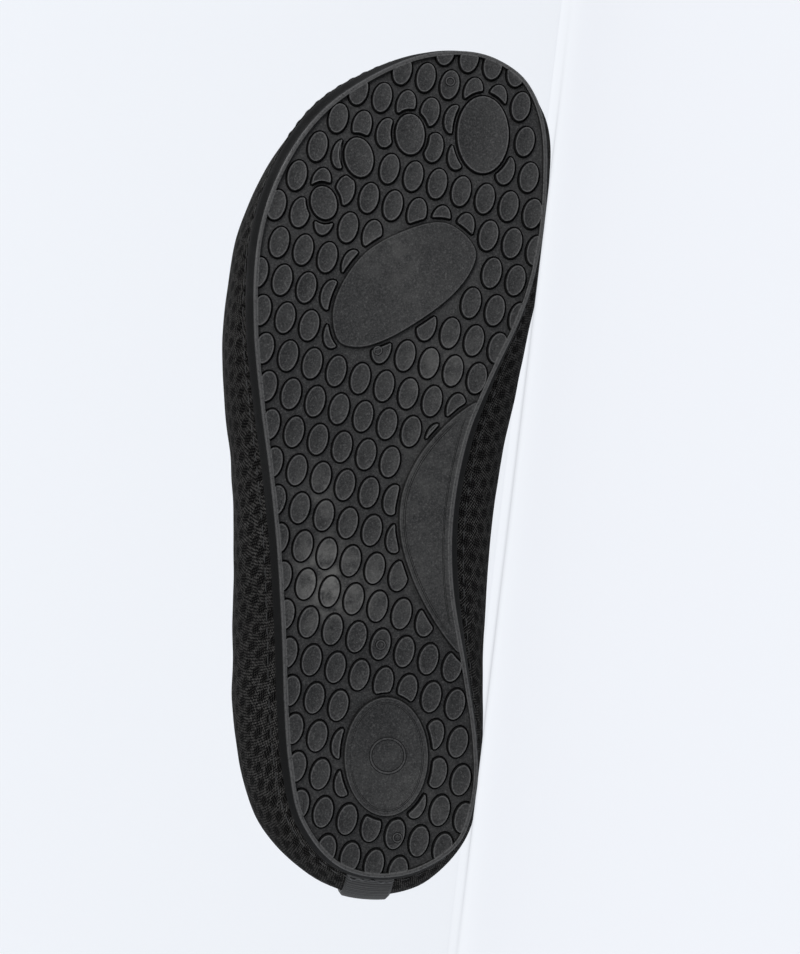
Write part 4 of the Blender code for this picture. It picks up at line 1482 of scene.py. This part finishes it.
def mesh_cloth():
    """Black spacer mesh: fine slanted knit with clusters of pinholes, staggered."""
    g = Graph("black_mesh_cloth")
    u, v = g.cloth_place()
    wander = g.noise(g.object_place(), 160.0, 2.0, 0.5)
    u = g.plus(u, g.times(wander, 0.9))
    wide, high = 3.65, 3.45
    row = g.math("FLOOR", g.math("DIVIDE", v, high))
    shift = g.times(g.math("MODULO", g.math("ABSOLUTE", row), 2.0), 0.5)
    cell_u = g.minus(g.math("FRACT", g.plus(g.math("DIVIDE", u, wide), shift)), 0.5)
    cell_v = g.minus(g.math("FRACT", g.math("DIVIDE", v, high)), 0.5)
    du = g.times(cell_u, wide)
    dv = g.times(cell_v, high)
    cluster = g.step(g.length(du, dv), 1.34, 0.96)
    p = g.wave(g.plus(du, g.times(dv, 0.30)), 1.20, "COSINE")
    q = g.wave(g.minus(dv, g.times(du, 0.30)), 1.20, "COSINE")
    dots = g.times(p, q)
    holes = g.times(cluster, g.step(g.math("ABSOLUTE", dots), 0.10, 0.28))
    ripple = g.times(g.noise(g.object_place(), 900.0, 2.0, 0.6), 0.55)
    slant = g.wave(g.plus(g.plus(u, ripple), g.times(v, 0.85)), 0.66)
    cross = g.wave(g.minus(g.plus(u, ripple), g.times(v, 1.15)), 0.92)
    knit = g.plus(g.times(slant, 0.42), g.times(cross, 0.30))
    fuzz = g.noise(g.object_place(), 1900.0, 3.0, 0.75)
    lit = g.step(g.plus(knit, g.times(fuzz, 2.6)), 1.18, 1.82)
    patch = g.noise(g.object_place(), 55.0, 3.0, 0.5)
    colour = g.mix(lit, (0.0005, 0.0005, 0.0005), (0.0560, 0.0540, 0.0515))
    colour = g.mix(g.step(patch, 0.35, 0.7, 0.0, 0.25), colour, (0.0080, 0.0074, 0.0070))
    strand = g.times(cluster, g.minus(1.0, holes))
    colour = g.mix(g.times(strand, 0.55), colour, (0.0300, 0.0288, 0.0274))
    colour = g.mix(g.times(holes, 0.98), colour, (0.0002, 0.0002, 0.0002))
    height = g.minus(g.times(knit, 0.30), g.times(holes, 1.6))
    height = g.minus(height, g.times(cluster, 0.55))
    height = g.plus(height, g.times(fuzz, 0.25))
    normal = g.bump(height, 0.00012, 0.9)
    return g.finish(colour, 0.95, normal, Specular_IOR_Level=0.05)


def hem_cloth():
    """Stretch binding: fine close ribs across the band."""
    g = Graph("black_binding")
    u, v = g.cloth_place()
    ribs = g.wave(g.plus(u, g.times(v, 0.08)), 0.58)
    rows = g.wave(v, 0.36)
    fuzz = g.noise(g.object_place(), 4200.0, 2.0, 0.7)
    knit = g.plus(g.times(ribs, 0.5), g.times(rows, 0.22))
    lit = g.step(g.plus(knit, g.times(fuzz, 0.9)), -0.1, 1.2)
    colour = g.mix(lit, (0.0020, 0.0020, 0.0021), (0.0280, 0.0275, 0.0270))
    normal = g.bump(g.plus(knit, g.times(fuzz, 0.5)), 0.00006, 0.8)
    return g.finish(colour, 0.80, normal, Specular_IOR_Level=0.2)


def plain_cloth(name, dark, light, pitch, rough, sheen):
    """A close plain weave, by the piece's own place."""
    g = Graph(name)
    place = g.object_place()
    x, y, z = [g.times(part, MM) for part in g.split(place)]
    weave = g.times(g.wave(x, pitch), g.wave(g.plus(z, g.times(y, 0.8)), pitch))
    fuzz = g.noise(place, 3600.0, 2.0, 0.7)
    cloud = g.noise(place, 120.0, 3.0, 0.55)
    lit = g.step(g.plus(g.times(weave, 0.5), fuzz), 0.1, 1.1)
    colour = g.mix(lit, dark, light)
    colour = g.mix(g.step(cloud, 0.3, 0.75, 0.0, 0.4), colour, dark)
    normal = g.bump(g.plus(weave, g.times(fuzz, 0.8)), 0.00005, 0.7)
    gloss = {"Specular_IOR_Level": 0.3, "Sheen_Weight": sheen, "Sheen_Roughness": 0.5}
    return g.finish(colour, rough, normal, **gloss)


def tape_cloth():
    """Ribbed black tape with a slight gloss on its ribs."""
    g = Graph("black_ribbed_tape")
    place = g.object_place()
    warp = g.wave(g.value("run"), TAPE_RIB, "COSINE")
    fuzz = g.noise(place, 4200.0, 2.0, 0.6)
    lit = g.step(g.plus(g.times(warp, -0.5), fuzz), 0.2, 1.0)
    colour = g.mix(lit, (0.0004, 0.0004, 0.0004), (0.0300, 0.0296, 0.0290))
    normal = g.bump(g.plus(g.times(warp, 0.6), fuzz), 0.00005, 0.8)
    return g.finish(colour, 0.52, normal, Specular_IOR_Level=0.5)


def glue():
    """Set glue, black and glossy."""
    g = Graph("set_glue")
    lump = g.noise(g.object_place(), 1400.0, 2.0, 0.5)
    return g.finish((0.030, 0.030, 0.031), 0.22, g.bump(lump, 0.0002, 0.8), Specular_IOR_Level=0.6)


def thread():
    """Black sewing thread."""
    g = Graph("black_thread")
    fuzz = g.noise(g.object_place(), 5200.0, 2.0, 0.7)
    colour = g.mix(g.step(fuzz, 0.3, 0.7), (0.004, 0.004, 0.004), (0.022, 0.022, 0.0215))
    return g.finish(colour, 0.55, g.bump(fuzz, 0.00006, 0.8), Specular_IOR_Level=0.5)


def backdrop_material():
    """A pale ground that glows by its distance from a place beside the shoe, and from the middle."""
    g = Graph("pale_backdrop")
    x, y = g.split(g.object_place())[:2]
    near = g.length(g.minus(x, 0.2), g.plus(y, 0.6))
    glow = g.mix(g.step(near, 0.15, 0.60), NEAR_GLOW, FAR_GLOW)
    glow = g.mix(g.step(g.length(x, y), 1.35, 1.80), glow, WALL_GLOW)
    g.finish(BACK_TINT, 0.9, Specular_IOR_Level=0.0, Emission_Strength=1.0)
    g.set(g.shader.inputs["Emission Color"], glow)
    return g.material


def build_stage():
    """A pale round floor that runs up into a plain wall all the way round, with no corner."""
    flat, bend, top, sides = 1.7, 0.6, 2.8, 96
    profile = [(0.25, FLOOR), (0.8, FLOOR), (flat, FLOOR)]
    for k in range(1, 17):
        angle = math.pi / 2 * k / 16
        profile.append((flat + bend * math.sin(angle), FLOOR + bend * (1 - math.cos(angle))))
    profile.append((flat + bend, top))
    bm = bmesh.new()
    middle = bm.verts.new((0, 0, FLOOR))
    rings = []
    for out, z in profile:
        ring = []
        for k in range(sides):
            angle = 2 * math.pi * k / sides
            ring.append(bm.verts.new((out * math.cos(angle), out * math.sin(angle), z)))
        rings.append(ring)
    for k in range(sides):
        bm.faces.new((middle, rings[0][k], rings[0][(k + 1) % sides]))
    for a, b in zip(rings, rings[1:]):
        for k in range(sides):
            j = (k + 1) % sides
            bm.faces.new((a[k], b[k], b[j], a[j]))
    mesh = bpy.data.meshes.new("backdrop")
    bm.to_mesh(mesh)
    bm.free()
    mesh.shade_smooth()
    mesh.materials.append(backdrop_material())
    obj = bpy.data.objects.new("backdrop", mesh)
    bpy.context.scene.collection.objects.link(obj)


# Soft boxes: name, place, power, colour
LIGHTS = (
    ("key", (0.55, -1.00, 0.45), 8.0, (1, 1, 1)),
    ("fill", (-0.5, -0.9, 0.60), 2.0, (0.95, 0.97, 1.0)),
    ("rim", (0.3, 0.9, 0.80), 3.0, (1, 1, 1)),
)
BOX_SIZE = (0.6, 0.5)
LIT_PLACE = (0, 0, 0.03)


def build_light():
    """A dim pale sky and three soft boxes."""
    world = bpy.data.worlds.new("studio")
    bpy.context.scene.world = world
    world.use_nodes = True
    background = world.node_tree.nodes["Background"]
    background.inputs["Color"].default_value = (0.93, 0.96, 1.0, 1)
    background.inputs["Strength"].default_value = 0.22
    for name, place, power, colour in LIGHTS:
        data = bpy.data.lights.new(name, "AREA")
        data.shape = "RECTANGLE"
        data.size, data.size_y = BOX_SIZE
        data.energy = power
        data.color = colour
        obj = bpy.data.objects.new(name, data)
        obj.location = place
        obj.rotation_mode = "QUATERNION"
        way = Vector(LIT_PLACE) - Vector(place)
        obj.rotation_quaternion = way.to_track_quat("-Z", "Y")
        bpy.context.scene.collection.objects.link(obj)


def build_camera():
    """The photograph's view straight at the tread, from as low as the floor lets it be."""
    matrix = np.array(PLACE)
    tip = math.radians(VIEW_TIP)
    target = matrix[:3, :3] @ np.array([VIEW_AT[0], VIEW_AT[1], 0.0]) + matrix[:3, 3]
    toward = matrix[:3, :3] @ np.array([0.0, 0.0, 1.0])
    place = target - toward * VIEW_FAR
    place[2] = max(place[2], CAMERA_LOW)
    up = matrix[:3, :3] @ np.array([math.sin(tip), math.cos(tip), 0.0])
    back = place - target
    far = float(np.linalg.norm(back))
    back /= far
    up -= back * float(np.dot(up, back))
    up /= np.linalg.norm(up)
    right = np.cross(up, back)
    data = bpy.data.cameras.new("camera")
    obj = bpy.data.objects.new("camera", data)
    bpy.context.scene.collection.objects.link(obj)
    data.sensor_width = SENSOR
    data.lens = far / VIEW_SCALE * SENSOR / PHOTO_HIGH
    data.clip_start = 0.01
    data.clip_end = 20.0
    world = Matrix.Identity(4)
    for k in range(3):
        world[k][0], world[k][1], world[k][2], world[k][3] = right[k], up[k], back[k], place[k]
    obj.matrix_world = world
    bpy.context.scene.camera = obj


bpy.context.scene.view_settings.view_transform = "Standard"
bpy.context.scene.view_settings.look = "None"

PLANE = rest_plane(upper_grid(RING))
PLACE = placing(PLANE)

RUBBER = rubber()
MESH_CLOTH = mesh_cloth()
HEM_CLOTH = hem_cloth()
LINING = plain_cloth("black_lining", (0.006,) * 3, (0.020,) * 3, 0.55, 0.85, 0.08)
SOCK = plain_cloth("black_sock", (0.008, 0.008, 0.0085), (0.026, 0.026, 0.027), 0.70, 0.9, 0.05)
TAPE_CLOTH = tape_cloth()
THREAD = thread()
GLUE = glue()

build_outsole()
OUTER, INNER, TURNS = build_upper()
FACING = skin_normals(OUTER)
for name, row, *sizes in STITCHES:
    stitches(name, OUTER[:, row], FACING[:, row], *sizes)
build_tape(OUTER, INNER, TURNS)
build_insole()

build_stage()
build_light()
build_camera()
